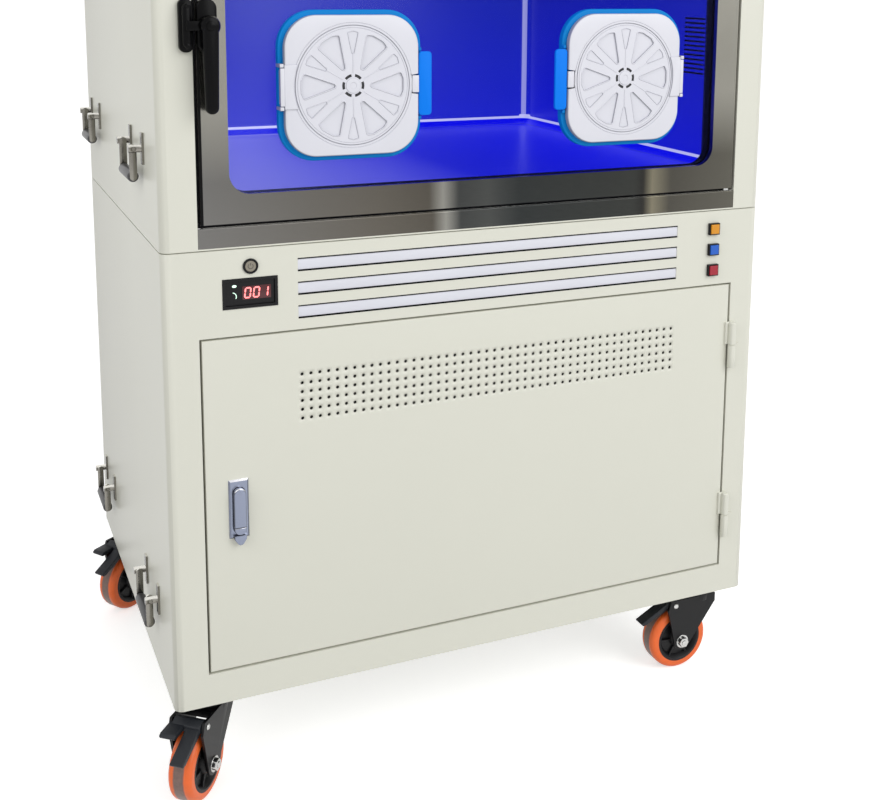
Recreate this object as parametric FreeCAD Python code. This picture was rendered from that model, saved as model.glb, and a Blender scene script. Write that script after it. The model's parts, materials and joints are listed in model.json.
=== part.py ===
import FreeCAD, Part
import math
import os

os.makedirs("parts", exist_ok=True)
V = FreeCAD.Vector

# Pet intensive care unit on casters, in millimetres.
# X runs to the right, Y to the back and Z up, with the floor at 0 and the origin under the middle.

# Casters
caster_inset = 55.0
caster_trail = 38.0
wheel_radius = 52.0
tyre_half = 18.0
tyre_sheet = 13.0
hub_boss_radius = 14.0
hub_half = 20.0
axle_radius = 5.0
nut_radius = 8.0
leg_inside = 23.0
leg_sheet = 4.0
leg_foot_radius = 15.0
kingpin_radius = 6.0
crown_radius = 28.0
crown_sheet = 14.0
wheel_gap = 12.0
bearing_stack = 15.0
top_plate_sheet = 4.0
top_plate_half_x = 46.0
top_plate_half_y = 36.0
pedal_out = 52.0
pedal_lift = 0.5
pedal_pin_radius = 3.0
pedal_reach = 112.0
casters = {
    "front_left": (-1, -1, -130.0),
    "front_right": (1, -1, 180.0),
    "rear_left": (-1, 1, 215.0),
    "rear_right": (1, 1, -40.0),
}

# Cabinets
body_width = 925.0
body_depth = 690.0
seam_height = 782.0
body_top = 1480.0
edge_radius = 12.0
sheet = 2.0
seam_gap = 1.5
step_inset = 5.0
front_reach = 49.0
back_reach = 19.0
return_depth = 26.0
back_flange = 24.0
panel_lap = 8.0
panel_slot_rows = 7
panel_slot_pitch = 16.0
panel_slot_width = 140.0
panel_slot_height = 6.0
panel_slot_x = 230.0

# Lower door
door_side_post = 49.0
door_bottom_rail = 49.0
fascia_height = 121.0
door_gap = 3.0
door_depth = 20.0
door_flange = 22.0
stop_lip = 12.0
stop_gap = 0.8
hole_pitch = 12.5
hole_size = 4.5
hole_rows = 6
hole_sides = 4
hole_margin_left = 134.25
hole_margin_right = 105.25
hole_margin_top = 60.0

# Lower door hinges
hinge_out = 4.5
barrel_radius = 6.0
hinge_pin_radius = 3.0
hinge_height = 73.0
hinge_from_bottom = 50.0
hinge_from_top = 133.0
hinge_leaf = 16.0
leaf_sheet = 3.0
running_gap = 0.3
bore_clearance = 0.06

# Flush lock of the lower door
lock_from_edge = 43.5
lock_height = 85.0
lock_width = 27.5
lock_tip = 10.0
lock_slope = 6.0
lock_plate_proud = 3.0
lock_pivot_rise = 14.0
lever_width = 17.0
lever_proud = 7.0
spindle_radius = 5.0
spindle_length = 16.6
clevis_radius = 8.4
clevis_sheet = 1.8
clevis_pin_radius = 1.4
clevis_pin_out = 5.6

# Control fascia of the lower unit
slot_margin_left = 179.5
slot_margin_right = 148.0
slot_height = 18.5
slot_drops = (29.0, 61.5, 94.0)
louvre_height = 13.0
louvre_depth = 9.0
louvre_arc = 3.5
display_from_side = 114.8
display_drop = 61.0
display_width = 74.4
display_height = 41.0
display_rim = 4.0
display_depth = 14.0
fit_gap = 0.2
glass_gap = 0.1
power_from_side = 115.5
power_drop = 25.0
power_ring_radius = 10.25
power_ring_proud = 2.2
power_cap_radius = 7.6
power_cap_proud = 1.8
key_from_side = 83.5
key_size = 18.0
key_cap = 14.6
key_neck = 8.5
key_proud = 5.5
key_cap_proud = 2.0

# Upper unit and chamber
opening_side_post = 48.0
header_height = 121.0
sill_height = 30.0
liner_margin = 4.0
liner_rear_gap = 49.0
liner_cove = 18.0
flange_margin = 12.0
side_louvre_rows = 13
side_louvre_rise = 139.0
side_louvre_pitch = 7.0
side_louvre_open = 3.0
side_louvre_start = 6.0
side_louvre_length = 55.0
fan_x = 0.0
fan_rise = 95.5
fan_half = 60.0
fan_sheet = 38.0
fan_bore = 56.0
fan_hub = 19.0
fan_blade = 53.0
fan_spindle = 3.0
grille_radius = 50.0
grille_pitch = 13.0
lamp_half = 150.0
lamp_start = 40.0
lamp_width = 26.0
lamp_drop = 9.0
screen_width = 176.0
screen_height = 92.0
screen_drop = 61.0
screen_rim = 6.0
screen_depth = 22.0

# Chamber door
frame_gap_side = 4.5
frame_gap_low = 3.0
frame_gap_high = 4.0
frame_depth = 22.0
stile_width = 38.0
top_rail = 39.0
window_radius = 28.0
pane_set_back = 8.0
pane_sheet = 6.0
pane_lap = 8.0
pivot_inset = 8.0
pivot_set_back = 5.5
pivot_radius = 3.5
pivot_length = 18.0
gasket_width = 14.0

# Hatches in the chamber door
hatch_from_window = 165.0
hatch_rise = 138.0
hatch_half = 94.0
hatch_radius = 44.0
hatch_sheet = 9.0
ring_half = 99.0
ring_radius = 49.0
ring_front = -2.0
port_radius = 82.0
disc_radius = 80.0
disc_sheet = 4.0
vent_count = 6
vent_inner = 30.0
vent_outer = 70.0
vent_half_angle = 16.0
rib_half_angle = 6.0
hatch_hub_radius = 7.0
hatch_pin_radius = 1.6
hatch_axis_out = 101.0
hatch_axis_front = -7.0
knuckle_radius = 4.0
knuckle_half = 22.0
tab_width = 17.0
tab_height = 86.0
tab_pin_radius = 1.2
tab_axis_out = 2.6
tab_axis_front = -5.0
catch_half = 9.4

# Chamber door latch
latch_inset = 13.0
latch_drop = 14.0
latch_boss_radius = 12.0
latch_boss_front = 17.0
latch_pin_radius = 4.0
latch_lever_front = 32.6
latch_lever_reach = 110.0
latch_lever_width = 20.0
latch_plate_width = 28.0
latch_plate_height = 66.0
latch_plate_sheet = 8.0
keeper_out = 8.5
keeper_width = 18.0
keeper_height = 67.0
keeper_base = 7.0
keeper_proud = 16.8

# Folding carrying handles
handle_span = 100.0
handle_drop = 42.0
handle_out = 13.0
handle_post_length = 20.0
handle_post_radius = 5.0
handle_plate_height = 43.0
handle_plate_width = 12.0
handle_plate_sheet = 3.0
handle_pin_radius = 3.0
handle_arm_width = 12.0
handle_arm_sheet = 3.5
handle_arm_gap = 0.4
grip_radius = 9.5
handle_front_depth = 155.0
handle_rear_depth = 110.0
handle_low_rise = 117.0
handle_high_rise = 123.0

# Oxygen unit in the lower compartment
compressor_x = -250.0
compressor_y = 150.0
compressor_half_x = 105.0
compressor_half_y = 75.0
compressor_foot = 14.0
motor_radius = 50.0
motor_half = 70.0
fin_count = 4
fin_pitch = 11.0
sieve_x = -90.0
sieve_radius = 38.0
sieve_pitch = 96.0
sieve_height = 320.0

# Rear connections
port_x = 330.0
port_rise = 85.0
inlet_half_x = 24.0
inlet_half_z = 14.0
nipple_radius = 4.0
nipple_length = 14.0

# Places that follow from the sizes above
hub_radius = wheel_radius - tyre_sheet
crown_low = 2 * wheel_radius + wheel_gap
crown_high = crown_low + crown_sheet
caster_height = crown_high + bearing_stack
pedal_z = crown_low + pedal_lift
side = body_width / 2
front = -(body_depth + back_reach - front_reach) / 2
back = front + body_depth
lower_top = seam_height - seam_gap
door_half = side - door_side_post
door_low = caster_height + door_bottom_rail
door_high = seam_height - fascia_height
hole_left = -door_half + hole_margin_left
hole_top = door_high - hole_margin_top
hole_band = 2 * door_half - hole_margin_left - hole_margin_right
hole_columns = int(hole_band / hole_pitch) + 1
hinge_x = door_half + hinge_out
hinge_lows = (door_low + hinge_from_bottom, door_high - hinge_from_top)
lock_x = -door_half + lock_from_edge
lock_low = (door_low + door_high - lock_height - 2) / 2
lock_high = lock_low + lock_height
lock_pivot = lock_low + lock_pivot_rise
slot_left = -side + slot_margin_left
slot_right = side - slot_margin_right
slot_centres = [seam_height - drop for drop in slot_drops]
display_x = -side + display_from_side
display_z = seam_height - display_drop
power_x = -side + power_from_side
power_z = seam_height - power_drop
key_x = side - key_from_side
opening_half = side - opening_side_post
opening_top = body_top - header_height
sill_high = seam_height + sill_height
screen_z = body_top - screen_drop
frame_half = opening_half - frame_gap_side
frame_low = sill_high + frame_gap_low
frame_high = opening_top - frame_gap_high
window_half = frame_half - stile_width
window_low = frame_low + stile_width
window_high = frame_high - top_rail
window_z = (window_low + window_high) / 2
window_half_z = (window_high - window_low) / 2
liner_half = window_half
liner_floor = window_low - liner_margin
liner_ceiling = window_high + liner_margin
liner_depth = body_depth - liner_rear_gap
fan_z = window_z + fan_rise
hatch_x = window_half - hatch_from_window
hatch_z = window_low + hatch_rise
latch_x = -frame_half + latch_inset
latch_z = (frame_low + frame_high) / 2 - latch_drop
keeper_x = -opening_half - keeper_out
handle_depths = (handle_front_depth, body_depth - handle_rear_depth)
handle_heights = {"lower": caster_height + handle_low_rise,
                  "upper": seam_height + handle_high_rise}


def block(x0, x1, y0, y1, z0, z1):
    return Part.makeBox(x1 - x0, y1 - y0, z1 - z0, V(x0, y0, z0))


def rod(radius, start, direction, length):
    return Part.makeCylinder(radius, length, start, direction)


def outline(points):
    return Part.makePolygon(points + [points[0]])


def rounded_wire(half_u, half_v, radius, place):
    """Rounded rectangle about (0, 0); place turns (u, v) into a point."""
    edges = []
    corners = ((1, 1, 0), (-1, 1, 90), (-1, -1, 180), (1, -1, 270))
    ends = []
    for su, sv, turn in corners:
        cu = su * (half_u - radius)
        cv = sv * (half_v - radius)
        arc = []
        for step in (0, 45, 90):
            angle = math.radians(turn + step)
            arc.append(place(cu + radius * math.cos(angle), cv + radius * math.sin(angle)))
        ends.append(arc)
    for index, arc in enumerate(ends):
        edges.append(Part.Arc(*arc).toShape())
        following = ends[(index + 1) % 4][0]
        if (following - arc[2]).Length > 0.01:
            edges.append(Part.LineSegment(arc[2], following).toShape())
    return Part.Wire(edges)


def upright_prism(half_x, y0, y1, z0, z1, radius):
    middle = (y0 + y1) / 2
    wire = rounded_wire(half_x, (y1 - y0) / 2, radius, lambda u, v: V(u, middle + v, z0))
    return Part.Face(wire).extrude(V(0, 0, z1 - z0))


def facing_prism(x, z, half_x, half_z, y0, y1, radius):
    wire = rounded_wire(half_x, half_z, radius, lambda u, v: V(x + u, y0, z + v))
    return Part.Face(wire).extrude(V(0, y1 - y0, 0))


def side_profile(points, y0, y1):
    """Outline of (x, z) points, drawn out along Y."""
    wire = outline([V(x, y0, z) for x, z in points])
    return Part.Face(wire).extrude(V(0, y1 - y0, 0))


def fused(shapes):
    return shapes[0].fuse(shapes[1:]).removeSplitter() if len(shapes) > 1 else shapes[0]


def turned(shape, angle, x, y):
    copy = shape.copy()
    copy.rotate(V(0, 0, 0), V(0, 0, 1), angle)
    copy.translate(V(x, y, 0))
    return copy


def mirrored_x(shape):
    return shape.mirror(V(0, 0, 0), V(1, 0, 0))


def save(name, shapes):
    solids = shapes if isinstance(shapes, list) else [shapes]
    group = solids[0] if len(solids) == 1 else Part.makeCompound(solids)
    group.exportStep("parts/" + name + ".step")


def opening_return(half_x, z0, z1, depth):
    """Folded edge behind the rim of an opening in a front sheet."""
    outer = block(-half_x - sheet, half_x + sheet, front, front + depth, z0 - sheet, z1 + sheet)
    return outer.cut(block(-half_x, half_x, front, front + depth, z0, z1))


def cabinet(low, high):
    outer = upright_prism(side, front, back, low, high, edge_radius)
    inner = upright_prism(side - sheet, front + sheet, back - sheet, low + sheet, high - sheet,
                          edge_radius - sheet)
    rear = block(-side + back_flange, side - back_flange, back - sheet, back,
                 low + back_flange, high - back_flange)
    return outer.cut([inner, rear])


def back_panel(low, high):
    """Rear cover screwed over the rear opening, with cooling slots."""
    low_edge = low + back_flange - panel_lap
    high_edge = high - back_flange + panel_lap
    half = side - back_flange + panel_lap
    panel = block(-half, half, back, back + sheet, low_edge, high_edge)
    slots = []
    for x in (-panel_slot_x, panel_slot_x):
        for row in range(panel_slot_rows):
            z = high_edge - back_flange - panel_lap - (row + 1.75) * panel_slot_pitch
            slots.append(block(x - panel_slot_width / 2, x + panel_slot_width / 2, back,
                               back + sheet, z - panel_slot_height / 2,
                               z + panel_slot_height / 2))
    return panel.cut(slots)


def lower_shell():
    half = door_half + door_gap
    low = door_low - door_gap
    high = door_high + door_gap
    shell = cabinet(caster_height, lower_top)
    shell = shell.cut(block(-half, half, front, front + sheet, low, high))
    lip_front = front + door_depth + stop_gap
    lip = block(-half, half, lip_front, lip_front + sheet, low, high)
    lip = lip.cut(block(-half + stop_lip, half - stop_lip, lip_front, lip_front + sheet,
                        low + stop_lip, high - stop_lip))
    shell = fused([shell, opening_return(half, low, high, lip_front + sheet - front), lip])
    cuts = []
    for z in slot_centres:
        cuts.append(block(slot_left, slot_right, front, front + sheet,
                          z - slot_height / 2, z + slot_height / 2))
    cuts.append(block(display_x - display_width / 2, display_x + display_width / 2, front,
                      front + sheet, display_z - display_height / 2,
                      display_z + display_height / 2))
    cuts.append(rod(power_ring_radius - 1.5, V(power_x, front, power_z), V(0, 1, 0), sheet))
    hole = key_neck + 0.1
    for z in slot_centres:
        cuts.append(block(key_x - hole, key_x + hole, front, front + sheet, z - hole, z + hole))
    stacking_step = upright_prism(side - step_inset, front + step_inset, back - step_inset,
                                  lower_top, seam_height, edge_radius - step_inset)
    return fused([shell.cut(cuts), stacking_step])


def bay_shelf():
    """Shelf between the door's compartment and the control bay."""
    low = door_high + door_gap + sheet
    half = side - sheet
    shelf = upright_prism(half, front + sheet, back - sheet, low, low + sheet,
                          edge_radius - sheet)
    lip = block(-half + edge_radius, half - edge_radius, back - 2 * sheet, back - sheet,
                low + sheet, low + 20)
    return shelf.fuse(lip).removeSplitter()


def louvre_bars():
    bars = []
    half = louvre_height / 2
    for z in slot_centres:
        start = V(slot_left, front + 1.0 + louvre_depth, z - half)
        upper = V(slot_left, front + 1.0 + louvre_depth, z + half)
        crest = V(slot_left, front + 1.0, z)
        arc_low = V(slot_left, front + 4.5, z - half)
        arc_high = V(slot_left, front + 4.5, z + half)
        wire = Part.Wire([
            Part.LineSegment(start, arc_low).toShape(),
            Part.Arc(arc_low, crest, arc_high).toShape(),
            Part.LineSegment(arc_high, upper).toShape(),
            Part.LineSegment(upper, start).toShape(),
        ])
        bar = Part.Face(wire).extrude(V(slot_right - slot_left, 0, 0))
        ends = []
        for x0 in (slot_left - 6, slot_right):
            ends.append(block(x0, x0 + 6, front + sheet, front + 1 + louvre_depth,
                              z - slot_height / 2, z + slot_height / 2))
        bars.append(fused([bar] + ends))
    return bars


def display_module():
    half_x = display_width / 2 - fit_gap
    half_z = display_height / 2 - fit_gap
    rim = block(display_x - half_x, display_x + half_x, front - 1.0, front + display_depth,
                display_z - half_z, display_z + half_z)
    rim = rim.cut(block(display_x - half_x + display_rim, display_x + half_x - display_rim,
                        front - 1.0, front + 3.0, display_z - half_z + display_rim,
                        display_z + half_z - display_rim))
    glass = display_rim + glass_gap
    window = block(display_x - half_x + glass, display_x + half_x - glass, front + 1.5,
                   front + 3.0, display_z - half_z + glass, display_z + half_z - glass)
    collar = block(display_x - half_x - 4, display_x + half_x + 4, front + sheet,
                   front + 6, display_z - half_z - 4, display_z + half_z + 4)
    hole = block(display_x - half_x, display_x + half_x, front, front + 8,
                 display_z - half_z, display_z + half_z)
    return [rim.fuse(collar.cut(hole)).removeSplitter(), window]


def button_bodies():
    """Steel ring of the power button and the black bodies of the three square buttons."""
    ring = rod(power_ring_radius, V(power_x, front - power_ring_proud, power_z), V(0, 1, 0),
               power_ring_proud)
    barrel = rod(power_ring_radius - 1.6, V(power_x, front, power_z), V(0, 1, 0), 16)
    bore = rod(power_cap_radius + running_gap, V(power_x, front - power_ring_proud, power_z),
               V(0, 1, 0), 12)
    bodies = [fused([ring, barrel]).cut(bore)]
    for z in slot_centres:
        half = key_size / 2
        cap = key_cap / 2 + running_gap
        head = block(key_x - half, key_x + half, front - key_proud, front, z - half, z + half)
        stem = block(key_x - key_neck, key_x + key_neck, front, front + 20, z - key_neck,
                     z + key_neck)
        well = block(key_x - cap, key_x + cap, front - key_proud, front + 8, z - cap, z + cap)
        bodies.append(fused([head, stem]).cut(well))
    return bodies


def power_button():
    cap = rod(power_cap_radius, V(power_x, front - power_cap_proud, power_z), V(0, 1, 0), 6)
    return cap.makeChamfer(0.5, [edge for edge in cap.Edges
                                 if edge.Curve.TypeId == "Part::GeomCircle"
                                 and edge.CenterOfMass.y < front])


def key_button(z):
    half = key_cap / 2
    y0 = front - key_proud - key_cap_proud
    cap = block(key_x - half, key_x + half, y0, front + 2, z - half, z + half)
    return cap.makeChamfer(0.7, [edge for edge in cap.Edges
                                 if abs(edge.BoundBox.YMax - y0) < 0.01])


def lower_door_panel():
    """Pan-shaped door sheet with the perforated band, and the moving hinge halves."""
    outer = [V(-door_half, front, door_low), V(door_half, front, door_low),
             V(door_half, front, door_high), V(-door_half, front, door_high)]
    wires = [outline(outer)]
    reach = hole_size / 2 * math.sqrt(math.pi / 2)
    for row in range(hole_rows):
        for column in range(hole_columns):
            x = hole_left + column * hole_pitch
            z = hole_top - row * hole_pitch
            corners = []
            for step in range(hole_sides):
                angle = 2 * math.pi * step / hole_sides
                corners.append(V(x + reach * math.cos(angle), front, z + reach * math.sin(angle)))
            wires.append(outline(corners))
    face = Part.Face(wires, "Part::FaceMakerBullseye")
    skin = face.extrude(V(0, sheet, 0))
    walls = block(-door_half, door_half, front, front + door_depth, door_low, door_high)
    walls = walls.cut(block(-door_half + sheet, door_half - sheet, front, front + door_depth,
                            door_low + sheet, door_high - sheet))
    flange = block(-door_half, door_half, front + door_depth - sheet, front + door_depth,
                   door_low, door_high)
    flange = flange.cut(block(-door_half + door_flange, door_half - door_flange, front,
                              front + door_depth, door_low + door_flange,
                              door_high - door_flange))
    pan = fused([skin, walls, flange])
    solids = [pan.cut(rod(spindle_radius + 0.6, V(lock_x, front, lock_pivot),
                          V(0, 1, 0), sheet))]
    for low in hinge_lows:
        solids.append(hinge_half(low + hinge_height / 2 + running_gap, low + hinge_height, -1))
    return solids


def hinge_half(low, high, way):
    """Barrel and leaf; way is -1 on the door and 1 on the cabinet."""
    axis_y = front - barrel_radius - 0.8
    barrel = rod(barrel_radius, V(hinge_x, axis_y, low), V(0, 0, 1), high - low)
    if way < 0:
        pad = block(door_half - hinge_leaf, door_half - 0.5, front - leaf_sheet, front, low, high)
        neck = block(door_half - 2, hinge_x, front - leaf_sheet - 0.8, front - 0.8, low, high)
        bore = rod(hinge_pin_radius + bore_clearance, V(hinge_x, axis_y, low), V(0, 0, 1),
                   high - low - 4)
        return fused([barrel, pad, neck]).cut(bore)
    pad = block(hinge_x - 1, hinge_x + hinge_leaf, front - leaf_sheet, front, low, high)
    pin = rod(hinge_pin_radius, V(hinge_x, axis_y, high), V(0, 0, 1), high - low - 6)
    return fused([barrel, pad, pin])


def lower_hinges():
    return [hinge_half(low, low + hinge_height / 2, 1) for low in hinge_lows]


def lock_plate():
    """Plate with a chamfered top and a pointed lower end, and the bush behind the door sheet."""
    half = lock_width / 2
    points = [(lock_x - half, lock_low), (lock_x, lock_low - lock_tip), (lock_x + half, lock_low),
              (lock_x + half, lock_high - lock_slope), (lock_x + half - lock_slope, lock_high),
              (lock_x - half + lock_slope, lock_high), (lock_x - half, lock_high - lock_slope)]
    plate = side_profile(points, front - lock_plate_proud, front)
    pivot = lock_pivot
    plate = plate.cut(rod(spindle_radius + bore_clearance,
                          V(lock_x, front - lock_plate_proud, pivot), V(0, 1, 0), 5))
    bush = rod(11.0, V(lock_x, front + sheet, pivot), V(0, 1, 0), 10)
    bush = bush.cut(rod(spindle_radius + bore_clearance, V(lock_x, front + sheet, pivot),
                        V(0, 1, 0), 10))
    return [plate, bush]


def lock_spindle():
    """Spindle with the round clevis in front and the cam behind the door."""
    pivot = lock_pivot
    head_y = front - lock_plate_proud - 0.4
    shaft = rod(spindle_radius, V(lock_x, head_y, pivot), V(0, 1, 0), spindle_length)
    head = rod(clevis_radius, V(lock_x, head_y - clevis_sheet, pivot), V(0, 1, 0), clevis_sheet)
    ears = []
    for way in (-1, 1):
        ears.append(block(lock_x + way * 6.2 - 1.4, lock_x + way * 6.2 + 1.4,
                          head_y - lever_proud, head_y - 1.0, pivot - 3.6, pivot + 3.6))
    pin = rod(clevis_pin_radius, V(lock_x - 7.0, head_y - clevis_pin_out, pivot), V(1, 0, 0),
              14.0)
    cam_y = front + sheet + 10.4
    cam = block(lock_x - 22, lock_x + 7, cam_y, cam_y + 2.6, pivot - 7, pivot + 7)
    return fused([shaft, head, cam] + ears + [pin])


def lock_lever():
    """Long pull lever hinged on the clevis, with a round upper end."""
    pivot = lock_pivot
    y0 = front - lock_plate_proud - 0.4 - lever_proud
    y1 = front - lock_plate_proud - 0.7
    half = lever_width / 2
    top = lock_high - 4.0 - half
    low = pivot + 9.2
    grip = block(lock_x - half, lock_x + half, y0, y1, low, top)
    dome = rod(half, V(lock_x, y0, top), V(0, 1, 0), y1 - y0)
    axis_y = front - lock_plate_proud - 0.4 - clevis_pin_out
    tongue = block(lock_x - 4.4, lock_x + 4.4, axis_y - 2.0, axis_y + 2.0, pivot - 2.4, low + 2)
    bore = rod(clevis_pin_radius + bore_clearance, V(lock_x - 5, axis_y, pivot), V(1, 0, 0), 10)
    return fused([grip, dome, tongue]).cut(bore)


def upper_shell():
    shell = cabinet(seam_height, body_top)
    shell = shell.cut(block(-opening_half, opening_half, front, front + sheet,
                            seam_height + sheet, opening_top))
    rim = opening_return(opening_half, seam_height + sheet, opening_top, return_depth)
    shell = fused([shell, rim])
    return shell.cut(block(-screen_width / 2, screen_width / 2, front, front + sheet,
                           screen_z - screen_height / 2, screen_z + screen_height / 2))


def control_screen():
    half_x = screen_width / 2 - fit_gap
    half_z = screen_height / 2 - fit_gap
    housing = block(-half_x, half_x, front - 1.5, front + screen_depth, screen_z - half_z,
                    screen_z + half_z)
    housing = housing.cut(block(-half_x + screen_rim, half_x - screen_rim, front - 1.5,
                                front + 0.5, screen_z - half_z + screen_rim,
                                screen_z + half_z - screen_rim))
    lip = block(-half_x - 5, half_x + 5, front + sheet, front + 8, screen_z - half_z - 5,
                screen_z + half_z + 5)
    housing = housing.fuse(lip).removeSplitter()
    rim = screen_rim + glass_gap
    glass = block(-half_x + rim, half_x - rim, front - 0.8, front + 0.5,
                  screen_z - half_z + rim, screen_z + half_z - rim)
    return [housing, glass]


def door_sill():
    sill = block(-opening_half + 0.1, opening_half - 0.1, front, front + return_depth,
                 seam_height + sheet, sill_high)
    return sill.makeChamfer(2.0, [edge for edge in sill.Edges
                                  if edge.BoundBox.YMax < front + 0.01
                                  and edge.BoundBox.ZMin > sill_high - 0.01])


def chamber_liner():
    """Coved stainless tub with a front flange, side louvres and a fan grille."""
    face_y = front + return_depth
    rear = front + liner_depth
    tub = block(-liner_half - sheet, liner_half + sheet, face_y, rear + sheet,
                liner_floor - sheet, liner_ceiling + sheet)
    half_x = opening_half + flange_margin
    flange = block(-half_x, half_x, face_y, face_y + sheet, sill_high - flange_margin,
                   opening_top + flange_margin)
    room = block(-liner_half, liner_half, face_y - liner_cove, rear, liner_floor, liner_ceiling)
    inner_edges = [edge for edge in room.Edges
                   if edge.BoundBox.YMin > face_y or edge.BoundBox.YLength > liner_depth / 2]
    room = room.makeFillet(liner_cove, inner_edges)
    cuts = []
    for row in range(side_louvre_rows):
        z = liner_floor + side_louvre_rise + row * side_louvre_pitch
        cuts.append(block(liner_half - 1, liner_half + sheet + 1, face_y + side_louvre_start,
                          face_y + side_louvre_start + side_louvre_length, z,
                          z + side_louvre_open))
    for row in range(-3, 4):
        z = fan_z + row * grille_pitch
        reach = math.sqrt(grille_radius ** 2 - (row * grille_pitch) ** 2)
        cuts.append(block(fan_x - reach, fan_x + reach, rear - 1, rear + sheet + 1,
                          z - 3, z + 3))
    return fused([tub, flange]).cut([room]).cut(cuts)


def fan_housing():
    """Square axial fan frame behind the back wall of the tub, with two arms to the hub."""
    y0 = front + liner_depth + sheet
    y1 = y0 + fan_sheet
    frame = facing_prism(fan_x, fan_z, fan_half, fan_half, y0, y1, 6)
    frame = frame.cut(rod(fan_bore, V(fan_x, y0, fan_z), V(0, 1, 0), fan_sheet))
    arms = []
    for rise in (-8, 8):
        arms.append(block(fan_x - fan_bore - 1, fan_x + fan_bore + 1, y1 - 4, y1,
                          fan_z + rise - 3, fan_z + rise + 3))
    plate = rod(fan_hub + 1, V(fan_x, y1 - 4, fan_z), V(0, 1, 0), 4)
    spindle = rod(fan_spindle, V(fan_x, y0 + 8, fan_z), V(0, 1, 0), fan_sheet - 8)
    return fused([frame, plate, spindle] + arms)


def fan_rotor():
    y0 = front + liner_depth + sheet + 4
    y1 = y0 + fan_sheet - 9
    hub = rod(fan_hub, V(fan_x, y0, fan_z), V(0, 1, 0), y1 - y0)
    blades = []
    for step in range(5):
        blade = block(fan_hub - 2, fan_blade, -2.0, 1.0, -9.0, 9.0)
        blade.rotate(V(0, 0, 0), V(1, 0, 0), 50)
        blade.rotate(V(0, 0, 0), V(0, 1, 0), step * 72)
        blade.translate(V(fan_x, (y0 + y1) / 2, fan_z))
        blades.append(blade)
    bore = rod(fan_spindle + bore_clearance, V(fan_x, y0 + 2, fan_z), V(0, 1, 0), y1 - y0)
    return fused([hub] + blades).cut(bore)


def chamber_lamp():
    y0 = front + return_depth + lamp_start
    lamp = block(-lamp_half, lamp_half, y0, y0 + lamp_width, liner_ceiling - lamp_drop,
                 liner_ceiling)
    return lamp.makeChamfer(4.0, [edge for edge in lamp.Edges
                                  if edge.BoundBox.ZMax < liner_ceiling - 8
                                  and edge.BoundBox.XLength > lamp_half])


def pivot_point():
    return V(frame_half - pivot_inset, front + pivot_set_back, 0)


def chamber_hinge_pins():
    """Pivot pins that stand on the sill and hang from the header."""
    point = pivot_point()
    lower = rod(pivot_radius, V(point.x, point.y, sill_high), V(0, 0, 1), pivot_length)
    upper = rod(pivot_radius, V(point.x, point.y, opening_top - pivot_length), V(0, 0, 1),
                pivot_length)
    washer = rod(5.0, V(point.x, point.y, sill_high), V(0, 0, 1), 2.6)
    return [fused([lower, washer]), upper]


def chamber_door_frame():
    """Polished door frame with rounded window, a rebate for the pane and pivot bores."""
    frame = block(-frame_half, frame_half, front, front + frame_depth, frame_low, frame_high)
    window = facing_prism(0, window_z, window_half, window_half_z, front, front + frame_depth,
                          window_radius)
    rebate = facing_prism(0, window_z, window_half + pane_lap, window_half_z + pane_lap,
                          front + pane_set_back, front + frame_depth, window_radius + pane_lap)
    point = pivot_point()
    bores = []
    for low in (frame_low, frame_high - 16):
        bores.append(rod(pivot_radius + bore_clearance, V(point.x, point.y, low), V(0, 0, 1), 16))
    return frame.cut([window, rebate] + bores)


def door_pane():
    """Clear pane in its rebate, with a round port under each hatch."""
    lap = pane_lap - 0.2
    y0 = front + pane_set_back
    pane = facing_prism(0, window_z, window_half + lap, window_half_z + lap, y0, y0 + pane_sheet,
                        window_radius + lap)
    ports = []
    for way in (-1, 1):
        ports.append(rod(port_radius, V(way * hatch_x, y0, hatch_z), V(0, 1, 0), pane_sheet))
    return pane.cut(ports)


def door_gasket():
    """Retainer of the pane and soft seal against the tub's flange."""
    y0 = front + pane_set_back + pane_sheet
    seat = facing_prism(0, window_z, window_half + pane_lap - 0.2, window_half_z + pane_lap - 0.2, y0,
                        front + frame_depth, window_radius + pane_lap - 0.2)
    hole = facing_prism(0, window_z, window_half, window_half_z, y0, front + return_depth, window_radius)
    seal = facing_prism(0, window_z, window_half + gasket_width, window_half_z + gasket_width,
                        front + frame_depth, front + return_depth - running_gap, window_radius)
    return fused([seat, seal]).cut(hole)


def hatch_ring():
    """Blue port frame on the pane, with the two ears of its hinge; left-hand hatch."""
    y0 = front + ring_front
    y1 = front + pane_set_back
    ring = facing_prism(-hatch_x, hatch_z, ring_half, ring_half, y0, y1, ring_radius)
    axis_x = -hatch_x - hatch_axis_out
    axis_y = front + hatch_axis_front
    parts = [ring]
    for low in (-29.0, 22.5):
        z0 = hatch_z + low
        parts.append(rod(knuckle_radius, V(axis_x, axis_y, z0), V(0, 0, 1), 6.5))
        parts.append(block(axis_x - 4, axis_x + 4, axis_y, y1, z0, z0 + 6.5))
    solid = fused(parts)
    solid = solid.cut(rod(port_radius, V(-hatch_x, y0, hatch_z), V(0, 1, 0), y1 - y0))
    pin = rod(hatch_pin_radius, V(axis_x, axis_y, hatch_z - 26), V(0, 0, 1), 52)
    tab_x = -hatch_x + ring_half
    for z0 in (hatch_z - tab_height / 2 - 5.5, hatch_z + tab_height / 2 + 0.5):
        ear = block(tab_x - 4, tab_x + 5.6, axis_y - 1.0, y0 + 4, z0, z0 + 5)
        solid = solid.fuse(ear)
    tab_pin = rod(tab_pin_radius, V(tab_x + tab_axis_out, front + tab_axis_front,
                                    hatch_z - tab_height / 2 - 3), V(0, 0, 1), tab_height + 6)
    return fused([solid, pin, tab_pin])


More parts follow.
